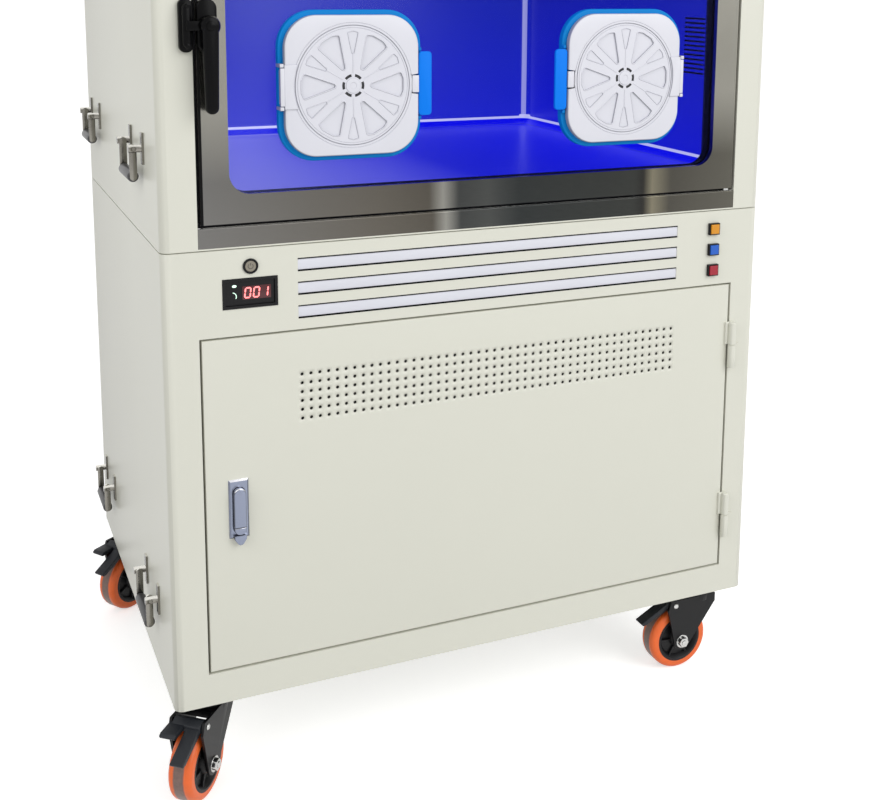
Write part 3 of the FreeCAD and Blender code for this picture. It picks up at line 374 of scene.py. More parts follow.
def white_shell():
    """White moulding with painted shade: its edges and side walls are painted a little darker than
    its face.
    """
    finish = Finish("white_shell")
    ny, nz = finish.parts(finish.node("ShaderNodeTexCoord", "Normal"))[1:]
    cloud = finish.noise(9.0, 3.0)
    fine = finish.noise(700.0, 2.0)
    # Painted shade on faces that turn away from the front, more on those that face down.
    turned = ((0.93 - ny.absolute()) * 1.6 - nz * 0.3).limited(0.75)
    face = finish.mix(cloud, colour(222, 223, 232), colour(230, 230, 239))
    return finish.surface(Base_Color=finish.mix(turned, face, colour(138, 140, 152)),
                          Roughness=cloud * 0.08 + 0.28, Normal=finish.bump(fine, 0.00003, 0.5))


def mirror_plate(name, side, front, top, front_share):
    """Plated metal with a painted reflection of a room: lighter on faces that look up, darker on
    those that look to the sides and down.
    """
    finish = Finish(name)
    ny, nz = finish.parts(finish.normal())[1:]
    cloud = finish.noise(90.0, 3.0)
    # Painted reflection: the colour follows the way each face looks, up, ahead or to the side.
    above = ((nz - 0.25) * 2.2 + (cloud - 0.5) * 0.4).limited()
    ahead = ((ny * -1.0 - 0.55) * 2.4 + (cloud - 0.5) * 0.5).limited(front_share)
    tone = finish.mix(above, finish.mix(ahead, side, front), top)
    return finish.surface(Base_Color=tone, Metallic=1.0, Roughness=cloud * 0.1 + 0.18,
                          Normal=finish.bump(cloud, 0.00003, 0.3))


def cast_metal(name, tone, rough):
    """Plain metal with an uneven sheen."""
    finish = Finish(name)
    cloud = finish.noise(30.0, 3.0)
    fine = finish.noise(500.0, 2.0)
    return finish.surface(Base_Color=finish.mix(cloud, tinted(tone, 0.85), tinted(tone, 1.1)),
                          Metallic=1.0, Roughness=cloud * 0.12 + rough,
                          Normal=finish.bump(fine, 0.00003, 0.5))


def tread_finish(centre, axle):
    """Orange tread with a scuffed grey band along its middle, measured along the axle."""
    finish = Finish("tread")
    tread = bpy.context.scene.unit_colours.tread
    away = finish.vector_maths("SUBTRACT", "Vector", finish.place(), centre)
    offset = finish.vector_maths("DOT_PRODUCT", "Value", away, axle).absolute()
    reach = finish.vector_maths("LENGTH", "Value", away)
    scuff = finish.noise(180.0, 4.0)
    band_half = 0.0085
    worn_radius = 0.0490
    band = ((band_half - offset) * 500.0 + scuff * 1.2 - 0.4).limited()
    rim = ((reach - worn_radius) * 900.0).limited()
    worn = finish.mix(scuff, colour(92, 72, 66), colour(140, 112, 102))
    clean = finish.mix(scuff, tread, tinted(tread, 1.15))
    return finish.surface(Base_Color=finish.mix(band * rim, clean, worn),
                          Roughness=scuff * 0.2 + 0.30, Normal=finish.bump(scuff, 0.0001, 0.3))


MATERIALS = {}


def make_materials():
    """Fills the table of materials."""
    colours = bpy.context.scene.unit_colours
    MATERIALS.update({
        "cream": cream_coat(),
        "steel": polished_steel("polished_steel", (9, 9, 0.6), 0.0),
        # The sill's steel carries the painted highlight along its top edge.
        "sill": polished_steel("sill_steel", (7, 7, 0.4), 1.0),
        "tub": lit_tub(),
        "pane": clear_pane(),
        "white": white_shell(),
        "ring": moulded("port_ring", list(colours.port_ring), 0.45, Specular_IOR_Level=0.15),
        "tab": moulded("finger_tab", list(colours.finger_tab), 0.45, Specular_IOR_Level=0.15),
        "black": moulded("black_shell", colour(18, 18, 20), 0.38, Specular_IOR_Level=0.2),
        "latch": moulded("black_latch", colour(4, 4, 5), 0.22, Specular_IOR_Level=0.1),
        "seal": moulded("soft_seal", colour(9, 9, 10), 0.6, Specular_IOR_Level=0.1),
        "grip": moulded("grip_sleeve", colour(62, 62, 64), 0.36),
        "fork": moulded("fork_enamel", colour(12, 12, 14), 0.34, Specular_IOR_Level=0.25),
        "pedal": moulded("pedal_shell", colour(30, 33, 38), 0.45, 0.0001, 300.0,
                         Specular_IOR_Level=0.3),
        "hub": moulded("hub_shell", colour(14, 14, 16), 0.40, Specular_IOR_Level=0.25),
        # Dark material for printed marks, and for painted shade in the vent discs' slots.
        "dark_print_and_shade": moulded("dark_print_and_shade", colour(30, 30, 34), 0.5),
        # The louvre bars glow faintly to lighten them in their recess: painted light.
        "louvre": lit("louvre_bar", colour(222, 223, 232), 0.45, colour(205, 208, 218), 0.06),
        "amber": lit("amber_lens", colour(214, 142, 18), 0.25, colour(214, 140, 16), 0.1),
        "blue": lit("blue_lens", colour(0, 88, 190), 0.25, colour(0, 80, 190), 0.1),
        "red": lit("red_lens", colour(158, 10, 38), 0.25, colour(150, 8, 34), 0.1),
        "green_figures": lit("green_figures", colour(120, 255, 170), 0.4,
                             colour(110, 255, 160), 1.6),
        "digits": lit("lit_digits", colour(255, 120, 120), 0.4, colour(255, 130, 130), 1.6),
        "window": lit("red_window", colour(52, 6, 12), 0.15, colour(70, 4, 10), 0.6),
        "dot": lit("lit_dot", colour(215, 255, 230), 0.4, colour(215, 255, 230), 1.0),
        "lamp": lit("lamp_cover", colour(150, 165, 255), 0.3, colour(110, 120, 255), 2.5),
        # Painted reflections of the lock plate and the handles: colours for faces that look to the
        # side, ahead and up.
        "zinc": mirror_plate("satin_zinc", colour(86, 89, 100), colour(128, 134, 151),
                             colour(240, 240, 244), 1.0),
        "handle": mirror_plate("handle_metal", colour(66, 63, 59), colour(170, 167, 158),
                               colour(228, 226, 218), 0.5),
        "plated": cast_metal("plated_steel", colour(190, 190, 188), 0.20),
        "button": cast_metal("button_metal", colour(128, 123, 112), 0.30),
        "pump": cast_metal("pump_metal", colour(150, 152, 156), 0.35),
        "zinc_sheet": cast_metal("zinc_sheet", colour(172, 174, 176), 0.35),
    })


# CAD nodes that stay in sight: the material, and the width of the rounded edges in mm.
NODE_LOOKS = {
    "lower_shell": ("cream", 0.6), "upper_shell": ("cream", 0.6), "back_panels": ("cream", 0.5),
    "lower_hinges": ("cream", 0.6), "bay_shelf": ("zinc_sheet", 0), "door_sill": ("sill", 0.5),
    "oxygen_unit": ("pump", 0.6), "rear_ports": ("black", 0), "control_screen": ("black", 0.5),
    "display_module": ("black", 0.35), "button_bodies": ("black", 0.35),
    "power_button": ("button", 0.35), "amber_button": ("amber", 0.35),
    "blue_button": ("blue", 0.35), "red_button": ("red", 0.35),
    "chamber_liner": ("tub", 0), "chamber_lamp": ("lamp", 0), "fan_housing": ("black", 0.4),
    "fan_rotor": ("black", 0), "chamber_hinge_pins": ("plated", 0),
    "chamber_door_frame": ("steel", 0.7), "door_pane": ("pane", 0), "door_gasket": ("seal", 0),
    "handle_mounts": ("handle", 0.4), "caster_plates": ("fork", 0.5),
    "caster_fork_front_left": ("fork", 0.6), "caster_fork_front_right": ("fork", 0.6),
    "caster_fork_rear_left": ("fork", 0.6), "caster_fork_rear_right": ("fork", 0.6),
}


BEVEL_FROM = math.radians(40)
SHARP_FROM = math.radians(32)
SAME_POINT = 0.002 * MM


def dress(*nodes):
    """Gives CAD nodes their finish, and rounds their sharp edges."""
    for node in nodes:
        material, width = NODE_LOOKS[node]
        thing = frame["nodes"][node]
        thing.data.materials.clear()
        thing.data.materials.append(MATERIALS[material])
        if width:
            weld = thing.modifiers.new("weld", "WELD")
            weld.merge_threshold = 0.01 * MM
            bevel = thing.modifiers.new("edge", "BEVEL")
            bevel.width = width * MM
            bevel.segments = 2
            bevel.limit_method = "ANGLE"
            bevel.angle_limit = BEVEL_FROM
            bevel.harden_normals = True


def add_piece(name, build, material, body, replaces=()):
    """Makes a mesh piece that rides on a body."""
    shape = bmesh.new()
    build(shape)
    bmesh.ops.remove_doubles(shape, verts=shape.verts, dist=SAME_POINT)
    bmesh.ops.recalc_face_normals(shape, faces=shape.faces)
    mesh = bpy.data.meshes.new(name)
    shape.to_mesh(mesh)
    shape.free()
    mesh.shade_smooth()
    mesh.set_sharp_from_angle(angle=SHARP_FROM)
    thing = bpy.data.objects.new(name, mesh)
    bpy.context.scene.collection.objects.link(thing)
    mesh.materials.append(MATERIALS[material])
    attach(thing, body)
    if replaces:
        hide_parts(*replaces)
    return thing


def ring_of(shape, points):
    """Vertices at the given points."""
    return [shape.verts.new(point) for point in points]


def join_rings(shape, first, second):
    """Faces between two closed loops that have as many points each."""
    count = len(first)
    for index in range(count):
        following = (index + 1) % count
        shape.faces.new((first[index], first[following], second[following], second[index]))


def stack(shape, matrix, levels):
    """Joins loops given as (points, height) and returns the first and the last."""
    rings = [ring_of(shape, [matrix @ Vector((u, v, height)) for u, v in points])
             for points, height in levels]
    for first, second in zip(rings, rings[1:]):
        join_rings(shape, first, second)
    return rings[0], rings[-1]


def quarter_turn(steps):
    """Sine and cosine of evenly spaced angles from 0 to 90 degrees."""
    angles = [math.radians(90 * step / steps) for step in range(steps + 1)]
    return [(math.sin(angle), math.cos(angle)) for angle in angles]


def arc(radius, start, end, rise=0.0, steps=12):
    """Points of a circle about (0, rise), between two angles in degrees."""
    angles = [math.radians(start + (end - start) * step / steps) for step in range(steps + 1)]
    return [(radius * math.cos(angle), rise + radius * math.sin(angle)) for angle in angles]


def circle(radius, steps=96):
    """Points of a whole circle about (0, 0)."""
    return [(radius * math.cos(2 * math.pi * step / steps),
             radius * math.sin(2 * math.pi * step / steps)) for step in range(steps)]


def lathe(shape, profile, matrix, steps):
    """Turns (radius, height) points about the matrix's Z axis; a radius of 0 closes the end."""
    previous = None
    for radius, height in profile:
        points = circle(radius, steps) if radius else [(0, 0)]
        current = ring_of(shape, [matrix @ Vector((u, v, height)) for u, v in points])
        if previous is not None:
            if len(previous) == len(current):
                join_rings(shape, previous, current)
            for index in range(steps):
                following = (index + 1) % steps
                if len(previous) < len(current):
                    shape.faces.new((previous[0], current[index], current[following]))
                elif len(current) < len(previous):
                    shape.faces.new((previous[index], previous[following], current[0]))
        previous = current


def rounded_outline(half_u, half_v, radius, steps):
    """Points of a rounded rectangle about (0, 0)."""
    points = []
    for su, sv, turn in ((1, 1, 0), (-1, 1, 90), (-1, -1, 180), (1, -1, 270)):
        points += [(su * (half_u - radius) + u, sv * (half_v - radius) + v)
                   for u, v in arc(radius, turn, turn + 90, 0.0, steps)]
    return points


def pillow(shape, outline_at, matrix, low, high, round_low, round_high, steps):
    """Slab along the matrix's Z axis whose ends are rounded; outline_at takes the inset."""
    levels = [(round_low * (1 - sine), low + round_low * (1 - cosine))
              for sine, cosine in quarter_turn(steps)]
    levels += [(round_high * (1 - cosine), high - round_high * (1 - sine))
               for sine, cosine in quarter_turn(steps)]
    first, last = stack(shape, matrix, [(outline_at(inset), height) for inset, height in levels])
    shape.faces.new(first)
    shape.faces.new(last)


def facing(x, y, z):
    """Matrix whose Z axis points to the front (-Y), with X to the right and Y up."""
    return Matrix.Translation(Vector((x, y, z))) @ Matrix(((1, 0, 0, 0), (0, 0, -1, 0),
                                                           (0, 1, 0, 0), (0, 0, 0, 1)))


def along(point, axis):
    """Matrix at a point whose Z axis lies along the given direction."""
    turn = Vector((0, 0, 1)).rotation_difference(Vector(axis).normalized()).to_matrix().to_4x4()
    return Matrix.Translation(Vector(point)) @ turn


def rounded_polygon(points, radius, inset, steps=4):
    """Convex outline, counter-clockwise, moved inwards by the inset, with rounded corners."""
    count = len(points)
    lines = []
    for index in range(count):
        start = Vector(points[index])
        end = Vector(points[(index + 1) % count])
        direction = (end - start).normalized()
        lines.append((start + Vector((-direction.y, direction.x)) * inset, direction))
    corners = []
    for index in range(count):
        start, along_first = lines[index - 1]
        other, along_next = lines[index]
        cross = along_first.x * along_next.y - along_first.y * along_next.x
        offset = other - start
        share = (offset.x * along_next.y - offset.y * along_next.x) / cross
        corners.append((start + along_first * share, along_first, along_next, cross))
    outline = []
    bend = max(radius - inset, 0.3 * MM)
    for corner, first, second, cross in corners:
        turn = math.asin(max(-1.0, min(1.0, cross)))
        if first.dot(second) < 0:
            turn = math.pi - turn
        reach = bend * math.tan(turn / 2)
        outwards = Vector((first.y, -first.x))
        centre = corner - first * reach - outwards * bend
        for step in range(steps + 1):
            outline.append(centre + Matrix.Rotation(turn * step / steps, 2) @ outwards * bend)
    return outline


def fill_between(shape, loops):
    """Flat face between an outer loop and the loops inside it."""
    edges = []
    for loop in loops:
        for index, vert in enumerate(loop):
            other = loop[(index + 1) % len(loop)]
            edges.append(shape.edges.get((vert, other)) or shape.edges.new((vert, other)))
    bmesh.ops.triangle_fill(shape, use_beauty=True, use_dissolve=False, edges=edges)


def ordered(first, second):
    """The lowest and the highest corner of the block between two points."""
    return (tuple(min(a, b) for a, b in zip(first, second)),
            tuple(max(a, b) for a, b in zip(first, second)))


def soft_block(shape, matrix, low, high, radius=1.0 * MM, edge=0.8 * MM):
    """Block with rounded upright corners and rounded ends along the matrix's Z axis."""
    half_u = (high[0] - low[0]) / 2
    half_v = (high[1] - low[1]) / 2
    centre = Matrix.Translation(((low[0] + high[0]) / 2, (low[1] + high[1]) / 2, 0))
    pillow(shape, lambda inset: rounded_outline(half_u - inset, half_v - inset,
                                                max(radius - inset, 0.2 * MM), 4),
           matrix @ centre, low[2], high[2], edge, edge, 3)


def tube(shape, points, radius):
    """Round bar along a list of points."""
    rings = []
    for index, point in enumerate(points):
        before = points[max(index - 1, 0)]
        after = points[min(index + 1, len(points) - 1)]
        direction = (after - before).normalized()
        helper = Vector((0, 1, 0)) if abs(direction.y) < 0.9 else Vector((1, 0, 0))
        first = direction.cross(helper).normalized()
        second = direction.cross(first)
        rings.append(ring_of(shape, [point + first * u + second * v
                                     for u, v in circle(radius, 8)]))
    for first, second in zip(rings, rings[1:]):
        join_rings(shape, first, second)
    shape.faces.new(rings[0])
    shape.faces.new(rings[-1])


# The band of round holes: its first hole, how many there are, and the sides that draw each one.
FIRST_HOLE = (-279.25 * MM, 601.0 * MM)
HOLE_COLUMNS = 48
HOLE_ROWS = 6
HOLE_SIDES = 16
# How deep the door's pan is, and how wide its returned edge.
PAN_DEPTH = 20.0 * MM
PAN_FLANGE = 22.0 * MM
PAN_SHEET = 2.0 * MM


def door_sheet(shape):
    """Folded door pan with its band of round holes."""
    sizes = bpy.context.scene.unit_sizes
    pitch = sizes.hole_pitch
    radius = sizes.hole / 2
    low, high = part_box("lower_door_panel")
    half = -low.x
    fold = sizes.fold
    left = FIRST_HOLE[0] - pitch / 2
    top = FIRST_HOLE[1] + pitch / 2
    points = {}

    def point(x, z):
        key = (round(x * 1e6), round(z * 1e6))
        if key not in points:
            points[key] = shape.verts.new((x, FRONT, z))
        return points[key]

    quarter = HOLE_SIDES // 4
    for row in range(HOLE_ROWS):
        for column in range(HOLE_COLUMNS):
            cx = left + (column + 0.5) * pitch
            cz = top - (row + 0.5) * pitch
            square = []
            for su, sv, du, dv in ((1, -1, 0, 1), (1, 1, -1, 0), (-1, 1, 0, -1), (-1, -1, 1, 0)):
                for step in range(quarter):
                    share = step / quarter
                    square.append(point(cx + su * pitch / 2 + du * pitch * share,
                                        cz + sv * pitch / 2 + dv * pitch * share))
            ring = []
            for step in range(HOLE_SIDES):
                angle = math.radians(-45 + 360 * step / HOLE_SIDES)
                ring.append(shape.verts.new((cx + radius * math.cos(angle), FRONT,
                                             cz + radius * math.sin(angle))))
            for step in range(HOLE_SIDES):
                following = (step + 1) % HOLE_SIDES
                shape.faces.new((square[step], square[following], ring[following], ring[step]))
    right = left + HOLE_COLUMNS * pitch
    bottom = top - HOLE_ROWS * pitch
    corners = [(-half + fold, low.z + fold), (half - fold, low.z + fold),
               (half - fold, high.z - fold), (-half + fold, high.z - fold)]
    outer = ring_of(shape, [(x, FRONT, z) for x, z in corners])
    sides = ((0, left), (0, right), (2, top), (2, bottom))
    border = [edge for edge in shape.edges if len(edge.link_faces) == 1
              and any(all(abs(vert.co[axis] - place) < 1e-6 for vert in edge.verts)
                      for axis, place in sides)]
    border += [shape.edges.new((outer[index], outer[(index + 1) % 4])) for index in range(4)]
    bmesh.ops.triangle_fill(shape, use_beauty=True, use_dissolve=False, edges=border)
    levels = [(fold * (1 - sine), fold * (1 - cosine)) for sine, cosine in quarter_turn(4)[1:]]
    levels += [(0.0, PAN_DEPTH), (PAN_FLANGE, PAN_DEPTH)]
    previous = outer
    for inset, back in levels:
        x = half - inset
        y = FRONT + back
        bottom = low.z + inset
        top = high.z - inset
        current = ring_of(shape, [(-x, y, bottom), (x, y, bottom), (x, y, top), (-x, y, top)])
        join_rings(shape, previous, current)
        previous = current


def hinge_knuckles(shape):
    """Moving halves of the two lift-off hinges: rounded barrels and their leaves."""
    axis = Vector(joints["lower_door_swing"]["pos_m"])
    radius = 6.0 * MM
    hinge_feet = (244.0 * MM, 528.0 * MM)

    def leaf(inset):
        return rounded_outline(4.0 * MM - inset, 18.0 * MM - inset, 1.0 * MM, 3)

    for low in hinge_feet:
        base = low + 36.8 * MM
        top = low + 73.0 * MM
        lathe(shape, [(0, base), (radius - 0.8 * MM, base), (radius, base + 0.8 * MM),
                      (radius, top - 1.5 * MM), (radius - 1.5 * MM, top), (0, top)],
              Matrix.Translation(Vector((axis.x, axis.y, 0))), 32)
        pillow(shape, leaf, facing(axis.x - radius, FRONT, (base + top) / 2),
               0.0, 4.0 * MM, 0.0, 1.2 * MM, 3)


# Rays that find the surroundings white, whatever light these give.
SEEN_RAYS = ("Is Camera Ray", "Is Glossy Ray", "Is Transmission Ray")


class CARE_OT_stage(bpy.types.Operator):
    """Floor, lights and the camera at the photograph's viewing angle"""

    bl_idname = "care_unit.stage"
    bl_label = "Stage"

    def execute(self, context):
        floor_mesh = bpy.data.meshes.new("floor")
        shape = bmesh.new()
        half = 9.0
        rise = 6.0
        bend = 1.5
        depth = 5.0
        profile = [(-half, 0.0), (depth, 0.0)]
        profile += [(depth + bend * sine, bend * (1 - cosine))
                    for sine, cosine in quarter_turn(8)[1:]]
        profile.append((depth + bend, rise))
        rows = [ring_of(shape, [(-half, y, z), (half, y, z)]) for y, z in profile]
        for first, second in zip(rows, rows[1:]):
            shape.faces.new((first[0], first[1], second[1], second[0]))
        shape.to_mesh(floor_mesh)
        shape.free()
        floor_mesh.shade_smooth()
        floor = bpy.data.objects.new("floor", floor_mesh)
        context.scene.collection.objects.link(floor)
        floor_mesh.materials.append(self.floor_finish())
        self.light("key", place=(1.6, -3.4, 2.6), target=(0.0, -0.2, 0.75), size=2.6, power=70.0)
        self.light("fill", place=(-2.7, -1.5, 2.3), target=(-0.3, 0.0, 0.9), size=2.0,
                   power=20.0)
        world = bpy.data.worlds.new("room")
        world.use_nodes = True
        tree = world.node_tree
        background = tree.nodes["Background"]
        background.inputs["Color"].default_value = (1.0, 1.0, 1.0, 1.0)
        paths = tree.nodes.new("ShaderNodeLightPath")
        seen = paths.outputs[SEEN_RAYS[0]]
        for name in SEEN_RAYS[1:]:
            larger = tree.nodes.new("ShaderNodeMath")
            larger.operation = "MAXIMUM"
            tree.links.new(seen, larger.inputs[0])
            tree.links.new(paths.outputs[name], larger.inputs[1])
            seen = larger.outputs[0]
        strength = tree.nodes.new("ShaderNodeMapRange")
        strength.inputs["To Min"].default_value = 0.6
        strength.inputs["To Max"].default_value = 1.0
        tree.links.new(seen, strength.inputs["Value"])
        tree.links.new(strength.outputs[0], background.inputs["Strength"])
        context.scene.world = world
        self.camera(context)
        context.scene.view_settings.view_transform = "Standard"
        return {"FINISHED"}

    def floor_finish(self):
        """White where it is looked at, and a plain pale floor for the light that it throws."""
        finish = Finish("pale_floor")
        cloud = finish.noise(1.2, 3.0)
        seen, glossy, transmitted = [finish.node("ShaderNodeLightPath", output)
                                     for output in SEEN_RAYS]
        seen = seen.larger(glossy).larger(transmitted)
        tone = finish.mix(cloud, (0.90, 0.90, 0.90), (0.93, 0.93, 0.93))
        tone = finish.mix(seen, (0.55, 0.55, 0.53), tone)
        return finish.surface(Base_Color=tone, Roughness=0.6, Emission_Strength=0.56,
                              Emission_Color=finish.mix(seen, (0, 0, 0), (1, 1, 1)))

    def light(self, name, place, target, size, power):
        """Square lamp that looks at its target."""
        lamp = bpy.data.lights.new(name, "AREA")
        lamp.size = size
        lamp.energy = power
        thing = bpy.data.objects.new(name, lamp)
        thing.location = place
        direction = Vector(target) - Vector(place)
        thing.rotation_euler = direction.to_track_quat("-Z", "Y").to_euler()
        bpy.context.scene.collection.objects.link(thing)

    def camera(self, context):
        """The photograph is the lower part of a taller picture, hence the lens shift."""
        right = Vector((0.91368, -0.40637, 0.00798))
        up = Vector((0.05893, 0.15188, 0.98664))
        place = Vector((-0.72728, -1.90536, 1.12992))
        focal_pixels = 1244.07
        centre_x, centre_y = 475.61, 185.0
        width, height = 880, 800
        data = bpy.data.cameras.new("view")
        data.sensor_fit = "VERTICAL"
        data.sensor_height = 24.0
        data.sensor_width = 13.4
        data.lens = data.sensor_height * focal_pixels / height
        data.shift_x = (width / 2 - centre_x) / height
        data.shift_y = (centre_y - height / 2) / height
        camera = bpy.data.objects.new("view", data)
        turn = Matrix((right, up, right.cross(up))).transposed().to_4x4()
        camera.matrix_world = Matrix.Translation(place) @ turn
        context.scene.collection.objects.link(camera)
        context.scene.camera = camera


class CARE_OT_cabinets(bpy.types.Operator):
    """Finishes of the two cabinets, their rear covers and what they hold"""

    bl_idname = "care_unit.cabinets"
    bl_label = "Cabinets"

    def execute(self, context):
        dress("lower_shell", "upper_shell", "back_panels", "bay_shelf", "door_sill",
              "oxygen_unit", "rear_ports", "control_screen", "lower_hinges")

        cover_edges = ((161.0 * MM, 764.0 * MM), (798.0 * MM, 1464.0 * MM))
        inset = 8.0 * MM
        half = 440.0 * MM

        def screws(shape):
            for low, high in cover_edges:
                heights = (low + inset, (low + high) / 2, high - inset)
                places = [(x, z) for x in (-half, half) for z in heights]
                places += [(0.0, heights[0]), (0.0, heights[2])]
                for x, z in places:
                    lathe(shape, [(4.6 * MM, 0), (4.6 * MM, 0.8 * MM), (3.6 * MM, 1.9 * MM),
                                  (1.6 * MM, 2.3 * MM), (1.2 * MM, 1.4 * MM), (0, 1.4 * MM)],
                          along((x, BACK + 2.0 * MM, z), (0, 1, 0)), 24)

        add_piece("cover_screws", screws, "plated", "root")
        return {"FINISHED"}


class CARE_OT_lower_door(bpy.types.Operator):
    """Folded door with round punched holes, its hinge halves and its flush lock"""

    bl_idname = "care_unit.lower_door"
    bl_label = "Lower door"

    def execute(self, context):
        sheet = add_piece("door_sheet", door_sheet, "cream", "lower_door",
                          ["lower_door_panel"])
        solid = sheet.modifiers.new("sheet", "SOLIDIFY")
        solid.thickness = PAN_SHEET
        solid.offset = -1.0
        add_piece("door_knuckles", hinge_knuckles, "cream", "lower_door",
                  ["lower_door_panel"])
        self.lock()
        return {"FINISHED"}

    def lock(self):
        """Flush lock: bevelled plate with a pointed foot, turning hub and pull lever."""
        pivot = Vector(joints["lock_turn"]["pos_m"])
        base = facing(pivot.x, FRONT, pivot.z)
        half = 8.3 * MM
        top = 49.4 * MM

        def plate(shape):
            def face(inset):
                return rounded_outline(13.6 * MM - inset, 41.4 * MM - inset, 0.6 * MM, 2)

            def foot(inset):
                return [(half - inset, -8.8 * MM - inset), (-half + inset, -8.8 * MM - inset),
                        (-half + inset, -14.5 * MM), (-3.6 * MM, -21.4 * MM + inset),
                        (-1.4 * MM, -22.9 * MM + inset), (1.4 * MM, -22.9 * MM + inset),
                        (3.6 * MM, -21.4 * MM + inset), (half - inset, -14.5 * MM)]

            pillow(shape, face, base @ Matrix.Translation((0, 26.4 * MM, 0)),
                   0.0, 3.0 * MM, 0.0, 2.2 * MM, 1)
            pillow(shape, foot, base, 0.0, 10.2 * MM, 0.0, 1.4 * MM, 2)
            lathe(shape, [(6.4 * MM, -2.0 * MM), (11.0 * MM, -2.0 * MM), (11.0 * MM, -12.0 * MM),
                          (6.4 * MM, -12.0 * MM)], base, 40)

        def groove(shape):
            def outline(inset):
                reach = half + 0.5 * MM - inset
                return arc(reach, 0, 180, top) + arc(reach, 180, 360)

            pillow(shape, outline, base, 2.6 * MM, 3.2 * MM, 0.0, 0.1 * MM, 1)

        def hub(shape):
            def outline(inset):
                reach = half - inset
                top_edge = 1.8 * MM - inset
                return arc(reach, 180, 360) + [(reach, top_edge), (-reach, top_edge)]

            pillow(shape, outline, base, 3.4 * MM, 10.6 * MM, 0.0, 1.4 * MM, 3)
            lathe(shape, [(0, 3.5 * MM), (6.0 * MM, 3.5 * MM), (6.0 * MM, -14.8 * MM),
                          (0, -14.8 * MM)], base, 40)
            soft_block(shape, base, (-22.0 * MM, -7.0 * MM, -15.0 * MM),
                       (7.0 * MM, 7.0 * MM, -12.4 * MM), 2.0 * MM, 0.4 * MM)

        def lever(shape):
            def outline(inset):
                reach = half - inset
                bottom = 2.2 * MM + inset
                return arc(reach, 0, 180, top) + [(-reach, bottom), (reach, bottom)]

            pillow(shape, outline, base, 3.8 * MM, 11.0 * MM, 0.4 * MM, 1.8 * MM, 3)

        add_piece("lock_face", plate, "zinc", "lower_door", ["lock_plate"])
        add_piece("lock_groove", groove, "seal", "lower_door", ["lock_plate"])
        add_piece("lock_hub", hub, "zinc", "lock_spindle", ["lock_spindle"])
        add_piece("lock_pull", lever, "zinc", "lock_lever", ["lock_lever"])


SEGMENTS = {"0": "abcdef", "1": "bc", "2": "abged", "4": "fgbc", "5": "afgcd", "6": "afgecd"}


def digit(shape, text, x, z, height, width, face_y):
    """Seven-segment figure as flat-ended bars, leaning slightly."""
    bar = height * 0.15
    half = height / 2
    ends = {
        "a": ((0, height), (width, height)), "b": ((width, height), (width, half)),
        "c": ((width, half), (width, 0)), "d": ((0, 0), (width, 0)),
        "e": ((0, half), (0, 0)), "f": ((0, height), (0, half)), "g": ((0, half), (width, half)),
    }
    lean = 0.12
    for letter in SEGMENTS[text]:
        (u0, v0), (u1, v1) = ends[letter]
        start = Vector((u0 + v0 * lean, v0))
        end = Vector((u1 + v1 * lean, v1))
        direction = (end - start).normalized()
        side = Vector((-direction.y, direction.x)) * bar / 2
        start = start + direction * bar * 0.6
        end = end - direction * bar * 0.6
        tip = direction * bar / 2
        outline = [start - tip, start + side, end + side, end + tip, end - side, start - side]
        front_ring = ring_of(shape, [(x + p.x, face_y, z + p.y) for p in outline])
        back_ring = ring_of(shape, [(x + p.x, face_y + 0.4 * MM, z + p.y) for p in outline])
        shape.faces.new(front_ring)
        shape.faces.new(back_ring)
        join_rings(shape, front_ring, back_ring)


